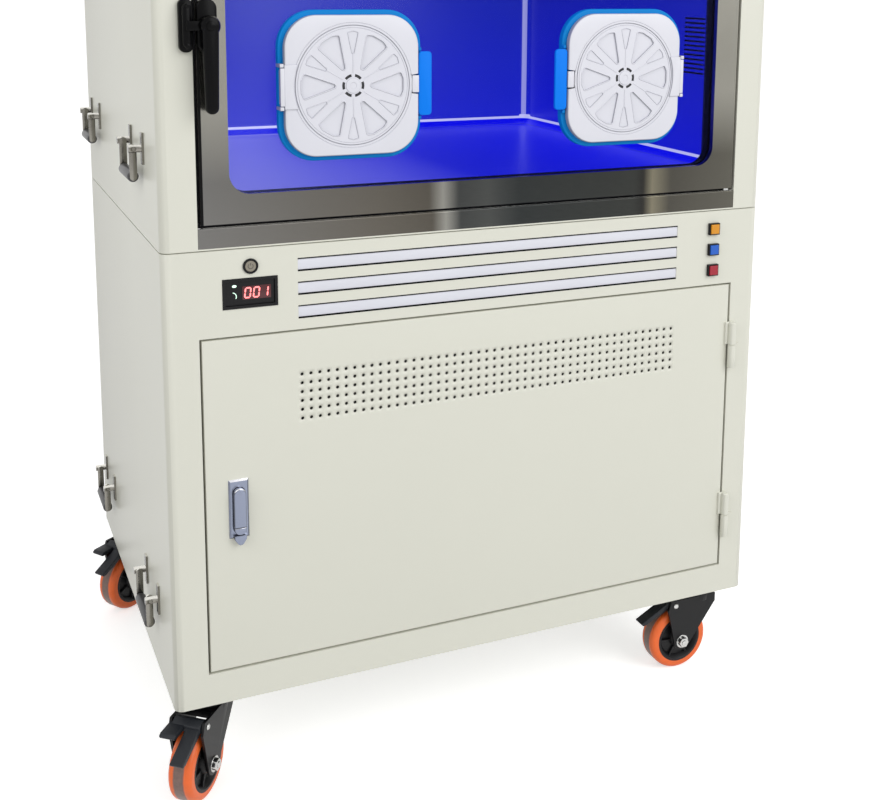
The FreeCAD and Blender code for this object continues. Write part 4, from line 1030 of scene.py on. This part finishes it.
class CARE_OT_fascia(bpy.types.Operator):
    """Louvres, display with its figures, and the push-buttons"""

    bl_idname = "care_unit.fascia"
    bl_label = "Control fascia"

    def execute(self, context):
        dress("display_module", "button_bodies", "power_button",
              "amber_button", "blue_button", "red_button")
        low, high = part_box("display_module")
        x = (low.x + high.x) / 2
        z = (low.z + high.z) / 2

        def figures(shape):
            for index, text in enumerate("001"):
                digit(shape, text, x - 7.6 * MM + index * 11.6 * MM, z - 6.4 * MM, 13.0 * MM,
                      7.2 * MM, FRONT + 0.65 * MM)

        def dot(shape):
            oval = facing(x - 21.0 * MM, FRONT + 1.4 * MM, z + 10.0 * MM)
            lathe(shape, [(2.0 * MM, 0), (2.0 * MM, 0.3 * MM), (0, 0.5 * MM)],
                  oval @ Matrix.Diagonal((1.5, 0.85, 1.0, 1.0)), 24)
            tube(shape, [Vector((x - 24.0 * MM + u, FRONT + 1.1 * MM, z - 4.0 * MM + v))
                         for u, v in arc(5.5 * MM, 80, -30, 0.0, 11)], 0.5 * MM)

        def window(shape):
            soft_block(shape, facing(x, FRONT + 1.5 * MM, z), (-10.5 * MM, -9.0 * MM, 0.0),
                       (28.0 * MM, 9.0 * MM, 0.6 * MM), 1.0 * MM, 0.2 * MM)

        left, right = [corner.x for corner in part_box("louvre_bars")]
        louvre_x = (left + right) / 2
        reach = (right - left) / 2 - 6.05 * MM
        slots = [753.0 * MM - index * 32.5 * MM for index in range(3)]
        section = [(-7.3, 0.0), (-7.3, 7.6), (-6.8, 8.3), (-4.0, 8.8), (0.0, 9.0),
                   (4.0, 8.8), (6.8, 8.3), (7.3, 7.6), (7.3, 0.0)]

        def bars(shape):
            for slot in slots:
                matrix = facing(louvre_x, FRONT + 10.0 * MM, slot)
                ends = [ring_of(shape, [matrix @ Vector((way * reach, v * MM, h * MM))
                                        for v, h in section]) for way in (-1, 1)]
                join_rings(shape, *ends)
                for end in ends:
                    shape.faces.new(end)
                for way in (-1, 1):
                    inner = (way * reach, -9.2 * MM, 0.0)
                    outer = (way * (reach + 6.0 * MM), 9.2 * MM, 7.9 * MM)
                    soft_block(shape, matrix, *ordered(inner, outer), 0.5 * MM, 0.3 * MM)

        # Dark strips in the gaps above and below each louvre bar: painted shade of the slots.
        def gap_shade(shape):
            for slot in slots:
                for way in (-1, 1):
                    soft_block(shape, facing(louvre_x, FRONT + 6.0 * MM, slot + way * 8.35 * MM),
                               (-reach, -0.85 * MM, 0.0), (reach, 0.85 * MM, 5.2 * MM),
                               0.3 * MM, 0.2 * MM)

        add_piece("display_window", window, "window", "root")
        add_piece("louvre_faces", bars, "louvre", "root", ["louvre_bars"])
        add_piece("louvre_gap_shade", gap_shade, "seal", "root")

        add_piece("display_figures", figures, "digits", "root")
        add_piece("display_dot", dot, "dot", "root")
        low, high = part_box("control_screen")
        middle = (low.z + high.z) / 2

        def readings(shape):
            for text, rise in (("26", 12.0), ("45", -26.0)):
                for index, figure in enumerate(text):
                    digit(shape, figure, -60.0 * MM + index * 16.0 * MM, middle + rise * MM,
                          20.0 * MM, 10.0 * MM, FRONT - 1.15 * MM)

        def traces(shape):
            for rise in (26.0, 4.0, -18.0):
                soft_block(shape, facing(30.0 * MM, FRONT - 0.8 * MM, middle + rise * MM),
                           (-34.0 * MM, -0.8 * MM, 0.0), (34.0 * MM, 0.8 * MM, 0.35 * MM),
                           0.3 * MM, 0.1 * MM)

        add_piece("screen_readings", readings, "green_figures", "root")
        add_piece("screen_traces", traces, "dot", "root")
        power = Vector((-347.0 * MM, FRONT - 1.85 * MM, 757.0 * MM))

        def mark(shape):
            tube(shape, [power + Vector((u, 0, v)) for u, v in arc(3.4 * MM, 50, -230, 0.0, 14)],
                 0.35 * MM)
            tube(shape, [power + Vector((0, 0, 1.0 * MM)), power + Vector((0, 0, 4.4 * MM))],
                 0.35 * MM)

        add_piece("power_mark", mark, "dark_print_and_shade", "power_button")
        return {"FINISHED"}


class CARE_OT_chamber(bpy.types.Operator):
    """Lit stainless chamber with its lamp and fan"""

    bl_idname = "care_unit.chamber"
    bl_label = "Chamber"

    def execute(self, context):
        dress("chamber_liner", "chamber_lamp", "fan_housing", "fan_rotor", "chamber_hinge_pins")
        return {"FINISHED"}


# How far a hatch's face stands in front of the cabinets.
HATCH_FACE = 11.5 * MM
# Half of a hatch's width and its corner radius, then the same for the ring behind it.
HATCH_SQUARE = (94.0 * MM, 44.0 * MM)
RING_SQUARE = (99.0 * MM, 48.5 * MM)
HATCH_SHEET = 9.0 * MM
RING_SHEET = 9.8 * MM
# The recess in which the disc turns, and the notch for the catch: its depth and half its angle.
RECESS_DEPTH = 1.9 * MM
NOTCH_REACH = 83.6 * MM
NOTCH_TURN = math.atan2(12.6 * MM, NOTCH_REACH)
# The moulded faces are drawn a little smaller than their nodes.
FACE_SCALE = Matrix.Diagonal((0.985, 0.985, 1.0, 1.0))
# Outlines in mm: the disc's wide windows and narrow reliefs, and the openings behind them.
WIDE = [(23.5, 3.0), (23.5, -3.0), (68.5, -18.6), (73.0, -8.5), (73.0, 8.5), (68.5, 18.6)]
NARROW = [(42.0, 2.1), (42.0, -2.1), (71.5, -8.4), (73.6, 0.0), (71.5, 8.4)]
VENT = [(31.0, 6.0), (31.0, -6.0), (68.0, -14.0), (68.0, 14.0)]


def hatch_frame(centre):
    """Matrix in the middle of a hatch's face."""
    return facing(centre.x, FRONT - HATCH_FACE, centre.z)


def square_reach(angle, half, radius):
    """Distance from the middle of a rounded square to its edge."""
    cos = abs(math.cos(angle))
    sin = abs(math.sin(angle))
    flat = half - radius
    if half * sin <= flat * cos:
        return half / cos
    if half * cos <= flat * sin:
        return half / sin
    middle = flat * (cos + sin)
    return middle + math.sqrt(middle ** 2 - 2 * flat ** 2 + radius ** 2)


def square_loop(inset, half, radius):
    """Edge of a rounded square."""
    reaches = [(square_reach(angle, half - inset, radius - inset), angle)
               for angle in (2 * math.pi * step / 160 for step in range(160))]
    return [(reach * math.cos(angle), reach * math.sin(angle)) for reach, angle in reaches]


def hatch_loop(inset, side):
    """Edge of a hatch, with the notch for the catch on the side that faces the middle."""
    steps = 160
    half, radius = HATCH_SQUARE
    angles = [2 * math.pi * (step + 0.5) / steps - math.pi for step in range(steps)]
    marks = [(angle, abs(angle) < NOTCH_TURN) for angle in angles]
    marks += [(NOTCH_TURN, True), (NOTCH_TURN + 1e-5, False), (-NOTCH_TURN, True),
              (-NOTCH_TURN - 1e-5, False)]
    points = []
    for angle, notched in sorted(marks):
        if notched:
            reach = (NOTCH_REACH - inset * 0.3) / math.cos(angle)
        else:
            reach = square_reach(angle, half - inset, radius - inset)
        points.append((side * reach * math.cos(angle), reach * math.sin(angle)))
    return points


def wedge_loop(turn, inset, outline, radius):
    """One of the outlines above, turned about the middle and moved inwards by the inset."""
    points = [(u * MM, v * MM) for u, v in outline]
    rotation = Matrix.Rotation(turn, 2)
    return [tuple(rotation @ point) for point in rounded_polygon(points, radius, inset)]


def hatch_body(centre, side):
    """White hatch: softly rounded square with a double ring groove and a vented recess."""
    plain = hatch_frame(centre)
    matrix = plain @ FACE_SCALE

    def leaf(inset):
        """Hinge leaf whose inner edge follows the round rim."""
        reach = 80.9 * MM + inset
        limit = math.degrees(math.asin((29.0 * MM - inset) / reach))
        rim = [(-side * u, -side * v) for u, v in arc(reach, -limit, limit)]
        outer = -side * (93.4 * MM - inset)
        return rim + [(outer, rim[-1][1]), (outer, rim[0][1])]

    def build(shape):
        levels = [(hatch_loop(0.8 * MM, side), -HATCH_SHEET),
                  (hatch_loop(0, side), -HATCH_SHEET + 0.8 * MM)]
        levels += [(hatch_loop(2.4 * MM * (1 - cosine), side), -2.4 * MM * (1 - sine))
                   for sine, cosine in quarter_turn(4)]
        back_loop, front_loop = stack(shape, matrix, levels)
        rim_levels = [(84.4, 0.0), (84.1, -0.45), (83.5, -0.45), (83.2, 0.0), (81.0, 0.0),
                      (80.5, -0.5), (80.5, -RECESS_DEPTH / MM)]
        outer_circle, floor_circle = stack(shape, matrix, [
            (circle(radius * MM), height * MM) for radius, height in rim_levels])
        fill_between(shape, [front_loop, outer_circle])
        floor_loops = [floor_circle]
        back_loops = [back_loop]
        for index in range(6):
            opening = wedge_loop(math.radians(60 * index + 30), 0, VENT, 2 * MM)
            top, bottom = stack(shape, matrix, [(opening, -RECESS_DEPTH), (opening, -HATCH_SHEET)])
            floor_loops.append(top)
            back_loops.append(bottom)
        fill_between(shape, floor_loops)
        fill_between(shape, back_loops)
        pillow(shape, leaf, plain, -1.0 * MM, 1.9 * MM, 0.0, 0.9 * MM, 3)
        soft_block(shape, plain, *ordered((-side * 98.9 * MM, -24.8 * MM, -3.2 * MM),
                                          (-side * 93.0 * MM, 24.8 * MM, 1.7 * MM)), 1.0 * MM)
        axis = plain @ Vector((-side * 95.0 * MM, 0, -4.5 * MM))
        lathe(shape, [(0, -21.8 * MM), (3.6 * MM, -21.8 * MM), (4.0 * MM, -21.4 * MM),
                      (4.0 * MM, 21.4 * MM), (3.6 * MM, 21.8 * MM), (0, 21.8 * MM)],
              Matrix.Translation(axis), 32)
    return build


def vent_disc(centre):
    """Turning disc: six wide windows with raised rims, six narrow reliefs and the hub."""
    matrix = hatch_frame(centre) @ FACE_SCALE
    # Radius and height of the disc's rim and hub, inset and height of the windows' and reliefs'
    # rims, all in mm.
    rim_levels = [(79.6, -1.6), (79.9, -0.5), (79.4, 0.0), (77.6, 0.0), (77.3, -0.4),
                  (76.8, -0.4), (76.5, 0.0)]
    hub_levels = [(10.4, 0.0), (10.0, 0.7), (4.6, 0.9), (4.2, 0.5)]
    wide_levels = [(0.0, 0.0), (0.6, 0.6), (1.3, 0.6), (1.7, 0.2), (1.8, -1.6)]
    narrow_levels = [(0.0, 0.0), (0.4, 0.6), (0.9, 0.6), (1.3, -0.5)]

    def build(shape):
        def opening(turn, outline, radius, levels):
            return stack(shape, matrix, [
                (wedge_loop(turn, inset * MM, outline, radius), height * MM)
                for inset, height in levels])

        lower, face_loop = stack(shape, matrix, [
            (circle(radius * MM), height * MM) for radius, height in rim_levels])
        face_loops = [face_loop]
        back_loops = [lower]
        for middle in range(0, 360, 60):
            top, bottom = opening(math.radians(middle), WIDE, 4 * MM, wide_levels)
            face_loops.append(top)
            back_loops.append(bottom)
            turn = math.radians(middle + 30)
            top, bottom = opening(turn, NARROW, 2.2 * MM, narrow_levels)
            face_loops.append(top)
            shape.faces.new(bottom)
            crease = matrix @ Matrix.Rotation(turn, 4, "Z")
            soft_block(shape, crease, (17.0 * MM, -0.6 * MM, -0.3 * MM),
                       (42.5 * MM, 0.6 * MM, 0.5 * MM), 0.5 * MM, 0.3 * MM)
            # Arc slots beside the hub: their floors take the disc's second, dark material as
            # painted shade in place of open slots.
            groove = (arc(15.6 * MM, middle - 20, middle + 20, 0.0, 8)
                      + arc(11.8 * MM, middle + 20, middle - 20, 0.0, 8))
            top, bottom = stack(shape, matrix, [(groove, 0.0), (groove, -1.3 * MM)])
            face_loops.append(top)
            shape.faces.new(bottom).material_index = 1
        hub_loop, hub_top = stack(shape, matrix, [
            (circle(radius * MM, 48), height * MM) for radius, height in hub_levels])
        face_loops.append(hub_loop)
        shape.faces.new(hub_top)
        fill_between(shape, face_loops)
        fill_between(shape, back_loops)
    return build


def port_ring(centre, side):
    """Blue frame on the pane with its round port and the ears that hold the tab's pin."""
    matrix = facing(centre.x, FRONT - 1.9 * MM, centre.z)

    def build(shape):
        levels = [(square_loop(0, *RING_SQUARE), -RING_SHEET)]
        levels += [(square_loop(2.0 * MM * (1 - cosine), *RING_SQUARE), -2.0 * MM * (1 - sine))
                   for sine, cosine in quarter_turn(4)]
        back_loop, front_loop = stack(shape, matrix, levels)
        hole_top, hole_low = stack(shape, matrix, [(circle(82.5 * MM), 0.0),
                                                   (circle(82.0 * MM), -0.5 * MM),
                                                   (circle(82.0 * MM), -RING_SHEET)])
        fill_between(shape, [front_loop, hole_top])
        fill_between(shape, [back_loop, hole_low])
        for low in (-48.5 * MM, 43.8 * MM):
            soft_block(shape, matrix, *ordered((side * 94.0 * MM, low, -1.0 * MM),
                                               (side * 98.8 * MM, low + 4.7 * MM, 4.0 * MM)),
                       1.2 * MM, 0.8 * MM)
    return build


def hinge_ends(centre, side):
    """White blocks on the ring that hold both ends of the hatch's hinge."""
    matrix = hatch_frame(centre)

    def build(shape):
        for low in (-30.4 * MM, 25.4 * MM):
            soft_block(shape, matrix, *ordered((-side * 99.4 * MM, low, -19.0 * MM),
                                               (-side * 93.9 * MM, low + 5.0 * MM, 1.6 * MM)),
                       1.0 * MM, 0.9 * MM)
    return build


class CARE_OT_chamber_door(bpy.types.Operator):
    """Polished door frame, pane, seal, hatches and latch"""

    bl_idname = "care_unit.chamber_door"
    bl_label = "Chamber door"

    def execute(self, context):
        dress("chamber_door_frame", "door_pane", "door_gasket")
        self.latch()
        for name, side in (("left", 1), ("right", -1)):
            self.hatch(name, side)
        return {"FINISHED"}

    def latch(self):
        """Pull lever, its mounting plate and the keeper on the cabinet."""
        pivot = Vector(joints["latch_turn"]["pos_m"])
        base = facing(pivot.x, FRONT, pivot.z)
        low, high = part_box("latch_keeper")

        def keeper(shape):
            middle = (low + high) / 2
            half_u = (high.x - low.x) / 2
            half_v = (high.z - low.z) / 2
            depth = high.y - low.y
            back = facing(middle.x, high.y, middle.z)

            def foot(inset):
                return rounded_outline(half_u - inset, half_v - inset, 8.0 * MM - inset, 6)

            def boss(inset):
                return rounded_outline(half_u - 3.2 * MM - inset, half_v - 6.0 * MM - inset,
                                       5.0 * MM - inset, 6)

            pillow(shape, foot, back, 0.0, 8.0 * MM, 0.0, 1.6 * MM, 3)
            pillow(shape, boss, back, 7.0 * MM, depth, 0.0, 3.0 * MM, 3)
            for rise in (-25.0 * MM, 25.0 * MM):
                lathe(shape, [(3.4 * MM, 0), (3.2 * MM, 0.8 * MM), (1.2 * MM, 1.2 * MM),
                              (0, 0.6 * MM)],
                      back @ Matrix.Translation((0, rise, depth - 0.4 * MM)), 24)

        def plate(shape):
            def outline(inset):
                return rounded_outline(13.0 * MM - inset, 33.0 * MM - inset, 12.0 * MM - inset, 6)

            pillow(shape, outline, base, 0.0, 8.0 * MM, 0.0, 2.2 * MM, 3)
            lathe(shape, [(12.0 * MM, 6.0 * MM), (12.0 * MM, 16.4 * MM), (11.4 * MM, 17.0 * MM),
                          (4.0 * MM, 17.0 * MM), (4.0 * MM, 33.0 * MM), (6.0 * MM, 33.2 * MM),
                          (5.6 * MM, 34.4 * MM), (3.6 * MM, 35.0 * MM), (0, 35.0 * MM)], base, 48)

        def lever(shape):
            def blade(inset):
                narrow = max(8.4 * MM - inset, 0.5 * MM)
                wide = max(10.6 * MM - inset, 0.5 * MM)
                return arc(narrow, 180, 360, -101.6 * MM) + arc(wide, 0, 180)

            pillow(shape, blade, base, 21.0 * MM, 32.4 * MM, 2.0 * MM, 5.4 * MM, 5)
            lathe(shape, [(0, 17.6 * MM), (12.4 * MM, 17.6 * MM), (13.0 * MM, 18.2 * MM),
                          (13.0 * MM, 27.0 * MM), (11.4 * MM, 30.4 * MM), (8.4 * MM, 32.0 * MM),
                          (0, 32.4 * MM)], base, 48)
            soft_block(shape, base, (low.x - pivot.x + 6.2 * MM, -6.0 * MM, 17.6 * MM),
                       (2.0 * MM, 6.0 * MM, 22.0 * MM), 2.0 * MM, 1.0 * MM)

        add_piece("keeper_shell", keeper, "latch", "root", ["latch_keeper"])
        add_piece("latch_base", plate, "latch", "chamber_door", ["latch_plate"])
        add_piece("latch_paddle", lever, "latch", "latch_lever", ["latch_lever"])
        edge_low, edge_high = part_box("chamber_door_frame")

        # Black strip along the frame's left edge: the rubber edge there, made wider so that the
        # gap beside it reads black, which is painted shade.
        def seal_and_gap_shade(shape):
            half = (edge_high.z - edge_low.z) / 2
            soft_block(shape, facing(edge_low.x + 1.8 * MM, FRONT, edge_low.z + half),
                       (-1.75 * MM, -half, -3.0 * MM), (1.75 * MM, half, 0.35 * MM),
                       0.5 * MM, 0.3 * MM)

        add_piece("edge_seal_and_gap_shade", seal_and_gap_shade, "seal", "chamber_door")

    def hatch(self, name, side):
        """One hatch with its disc, its tab and the ring on the pane; side is 1 at the left."""
        centre = Vector(joints[f"vent_{name}_turn"]["pos_m"])
        add_piece("hatch_shell_" + name, hatch_body(centre, side), "white", "hatch_" + name,
                  ["hatch_" + name])
        disc = add_piece("disc_" + name, vent_disc(centre), "white", "vent_disc_" + name,
                         ["vent_disc_" + name])
        # The disc's second material darkens the floors of its arc slots: painted shade.
        disc.data.materials.append(MATERIALS["dark_print_and_shade"])
        add_piece("ring_" + name, port_ring(centre, side), "ring", "chamber_door",
                  ["hatch_rings"])
        add_piece("ring_ears_" + name, hinge_ends(centre, side), "white", "chamber_door",
                  ["hatch_rings"])
        matrix = hatch_frame(centre)

        def tab(shape):
            soft_block(shape, matrix, *ordered((side * 93.6 * MM, -43.2 * MM, -7.5 * MM),
                                               (side * 112.6 * MM, 43.2 * MM, -2.6 * MM)),
                       5.0 * MM, 1.2 * MM)

        def catch(shape):
            soft_block(shape, matrix, *ordered((side * 83.4 * MM, -11.6 * MM, -6.0 * MM),
                                               (side * 93.2 * MM, 11.6 * MM, -0.3 * MM)),
                       0.8 * MM, 0.6 * MM)

        add_piece("tab_" + name, tab, "tab", "hatch_tab_" + name,
                  ["hatch_tab_" + name])
        add_piece("catch_" + name, catch, "white", "hatch_tab_" + name,
                  ["hatch_tab_" + name])


class CARE_OT_handles(bpy.types.Operator):
    """Folding carrying handles on both sides"""

    bl_idname = "care_unit.handles"
    bl_label = "Handles"

    def execute(self, context):
        dress("handle_mounts")
        for level_name in ("lower", "upper"):
            for side in ("left", "right"):
                for place in ("front", "rear"):
                    self.bail(f"handle_{level_name}_{side}_{place}")
        return {"FINISHED"}

    def bail(self, name):
        """Bail of one handle: two flat arms with their pins, and the grip."""
        axis = Vector(joints[name + "_swing"]["pos_m"])
        drop = 39.0 * MM

        def arms(shape):
            for way in (-1, 1):
                near = axis + Vector((0, way * 41.2 * MM, 0))
                matrix = along(near, (0, way, 0))
                across = (matrix.inverted().to_3x3() @ Vector((1, 0, 0))).xy
                down = (matrix.inverted().to_3x3() @ Vector((0, 0, -1))).xy

                def edge(inset):
                    half = 5.0 * MM - inset
                    return [tuple(across * u + down * v)
                            for u, v in arc(half, 180, 360) + arc(half, 0, 180, drop)]

                pillow(shape, edge, matrix, 0.0, 3.3 * MM, 0.4 * MM, 0.4 * MM, 2)
                lathe(shape, [(0, 3.0 * MM), (3.0 * MM, 3.0 * MM), (3.0 * MM, 12.4 * MM),
                              (2.6 * MM, 12.8 * MM), (0, 12.8 * MM)], matrix, 32)

        def grip(shape):
            matrix = along(axis + Vector((0, 0, -drop)), (0, 1, 0))
            half = 41.0 * MM
            bend = 2.6 * MM
            profile = [(0, -half)]
            profile += [(5.0 * MM + bend * sine, -half + bend * (1 - cosine))
                        for sine, cosine in quarter_turn(4)]
            profile += [(radius, -height) for radius, height in reversed(profile)]
            lathe(shape, profile, matrix, 40)

        add_piece(name + "_arms", arms, "handle", name, [name])
        add_piece(name + "_grip", grip, "grip", name, [name])


class CARE_OT_casters(bpy.types.Operator):
    """Swivel casters: enamelled forks, orange treads on black hubs and brake pedals"""

    bl_idname = "care_unit.casters"
    bl_label = "Casters"

    def execute(self, context):
        dress("caster_plates")
        for name in ("front_left", "front_right", "rear_left", "rear_right"):
            dress("caster_fork_" + name)
            self.wheel(name)
            self.fixings(name)
            self.pedal(name)
        return {"FINISHED"}

    def frame_at(self, name):
        """Matrix of a caster: X towards its trailing wheel, Z up, from the kingpin's foot."""
        pivot = Vector(joints["swivel_" + name]["pos_m"])
        axle = Vector(joints["roll_" + name]["axis"])
        trail = axle.cross(Vector((0, 0, 1)))
        turn = Matrix((trail, axle, Vector((0, 0, 1)))).transposed().to_4x4()
        return Matrix.Translation(Vector((pivot.x, pivot.y, 0))) @ turn

    def fixings(self, name):
        """Nuts of the axle, pins of the pedal and the race of the swivel."""
        base = self.frame_at(name)
        centre = Vector(joints["roll_" + name]["pos_m"])
        pin = Vector(joints["brake_" + name]["pos_m"])
        axle = Vector(joints["roll_" + name]["axis"])
        fork_half = 27.0 * MM

        def nut(inset):
            return rounded_polygon(circle(8.6 * MM, 6), 0.5 * MM, inset, 2)

        def bolts(shape):
            for way in (-1, 1):
                matrix = along(centre + axle * way * fork_half, axle * way)
                lathe(shape, [(0, 0), (11.0 * MM, 0), (11.0 * MM, 1.2 * MM), (10.6 * MM, 1.6 * MM),
                              (8.0 * MM, 1.6 * MM)], matrix, 48)
                pillow(shape, nut, matrix, 1.4 * MM, 7.0 * MM, 0.0, 0.8 * MM, 2)
                lathe(shape, [(4.6 * MM, 6.9 * MM), (4.4 * MM, 8.4 * MM), (3.4 * MM, 8.8 * MM),
                              (0, 8.8 * MM)], matrix, 32)
                matrix = along(pin + axle * way * fork_half, axle * way)
                lathe(shape, [(0, 0), (4.2 * MM, 0), (4.2 * MM, 0.6 * MM), (3.2 * MM, 1.6 * MM),
                              (1.2 * MM, 2.0 * MM), (0, 2.0 * MM)], matrix, 32)

        add_piece("bolts_" + name, bolts, "plated", "caster_" + name)

        def race(shape):
            lathe(shape, [(22.0 * MM, 130.4 * MM), (31.0 * MM, 130.4 * MM),
                          (33.0 * MM, 132.0 * MM), (33.0 * MM, 137.0 * MM),
                          (30.0 * MM, 140.6 * MM), (22.0 * MM, 140.8 * MM)],
                  Matrix.Translation(base.translation), 64)

        add_piece("race_" + name, race, "fork", "root")

    def pedal(self, name):
        """Brake pedal from outlines in mm, with X towards the wheel and Z up."""
        base = self.frame_at(name)
        sideways = base @ Matrix(((1, 0, 0, 0), (0, 0, 1, 0), (0, -1, 0, 0), (0, 0, 0, 1)))

        def slab(shape, points, y0, y1, radius=1.6 * MM):
            outline = [(x * MM, -z * MM) for x, z in reversed(points)]
            pillow(shape, lambda inset: rounded_polygon(outline, radius, inset, 3),
                   sideways, y0 * MM, y1 * MM, 1.2 * MM, 1.2 * MM, 3)

        def build(shape):
            slab(shape, [(45, 111.5), (60, 110.5), (66, 112), (66, 121), (55, 126.5), (45, 122.5)],
                 -21.6, 21.6, 3.0 * MM)
            slab(shape, [(58, 114.5), (90, 113.5), (92, 117), (88, 120.5), (58, 121.5)],
                 -26.0, -2.0)
            slab(shape, [(60, 112.5), (104, 90.5), (110, 90), (114, 94), (66, 119.5)],
                 1.0, 21.0)

        add_piece("pedal_" + name, build, "pedal", "pedal_" + name,
                  ["caster_pedal_" + name])

    def wheel(self, name):
        """Tread and spoked hub of one wheel."""
        joint = joints["roll_" + name]
        centre = Vector(joint["pos_m"])
        axle = Vector(joint["axis"])
        matrix = along(centre, axle)
        MATERIALS["tread_" + name] = tread_finish(centre, axle)

        def tread(shape):
            half = 18.0 * MM
            shoulder = 8.0 * MM
            outer = 52.0 * MM
            inner = 39.0 * MM
            side = [(inner, -half)]
            side += [(outer - shoulder + shoulder * sine, -half + shoulder * (1 - cosine))
                     for sine, cosine in quarter_turn(8)]
            profile = side + [(radius, -height) for radius, height in reversed(side)]
            profile.append((inner, -half))
            lathe(shape, profile, matrix, 96)

        def hub(shape):
            rim = 39.2 * MM
            half = 20.0 * MM
            points = [(5.1 * MM, -half), (12.5 * MM, -half), (14.0 * MM, -half + 1.5 * MM),
                      (16.0 * MM, -12.0 * MM), (30.0 * MM, -11.0 * MM), (34.0 * MM, -17.2 * MM),
                      (35.5 * MM, -18.4 * MM), (rim, -18.0 * MM)]
            profile = points + [(radius, -height) for radius, height in reversed(points)]
            profile.append(profile[0])
            lathe(shape, profile, matrix, 72)
            for way in (-1, 1):
                for index in range(6):
                    rib = matrix @ Matrix.Rotation(math.radians(60 * index), 4, "Z")
                    soft_block(shape, rib, *ordered((14.5 * MM, -1.4 * MM, way * 9.0 * MM),
                                                    (34.0 * MM, 1.4 * MM, way * 15.5 * MM)),
                               0.8 * MM, 0.8 * MM)

        add_piece("tread_" + name, tread, "tread_" + name, "wheel_" + name,
                  ["caster_wheel_" + name])
        add_piece("hub_" + name, hub, "hub", "wheel_" + name,
                  ["caster_wheel_" + name])


class CARE_PT_panel(bpy.types.Panel):
    """Buttons for the groups of pieces"""

    bl_idname = "CARE_PT_panel"
    bl_label = "Care unit"
    bl_space_type = "VIEW_3D"
    bl_region_type = "UI"
    bl_category = "Care unit"

    def draw(self, context):
        for operator in OPERATORS:
            self.layout.operator(operator.bl_idname)
        for group in (context.scene.unit_colours, context.scene.unit_sizes):
            for name in group.bl_rna.properties.keys():
                if name not in ("rna_type", "name"):
                    self.layout.prop(group, name)


OPERATORS = (CARE_OT_stage, CARE_OT_cabinets, CARE_OT_lower_door, CARE_OT_fascia,
             CARE_OT_chamber, CARE_OT_chamber_door, CARE_OT_handles, CARE_OT_casters)


def register():
    for group in (UnitColours, UnitSizes) + OPERATORS + (CARE_PT_panel,):
        bpy.utils.register_class(group)
    bpy.types.Scene.unit_colours = PointerProperty(type=UnitColours)
    bpy.types.Scene.unit_sizes = PointerProperty(type=UnitSizes)


def unregister():
    del bpy.types.Scene.unit_sizes
    del bpy.types.Scene.unit_colours
    for group in reversed((UnitColours, UnitSizes) + OPERATORS + (CARE_PT_panel,)):
        bpy.utils.unregister_class(group)


def main():
    register()
    make_materials()
    for operator in OPERATORS:
        family, name = operator.bl_idname.split(".")
        getattr(getattr(bpy.ops, family), name)()


if __name__ == "__main__":
    main()
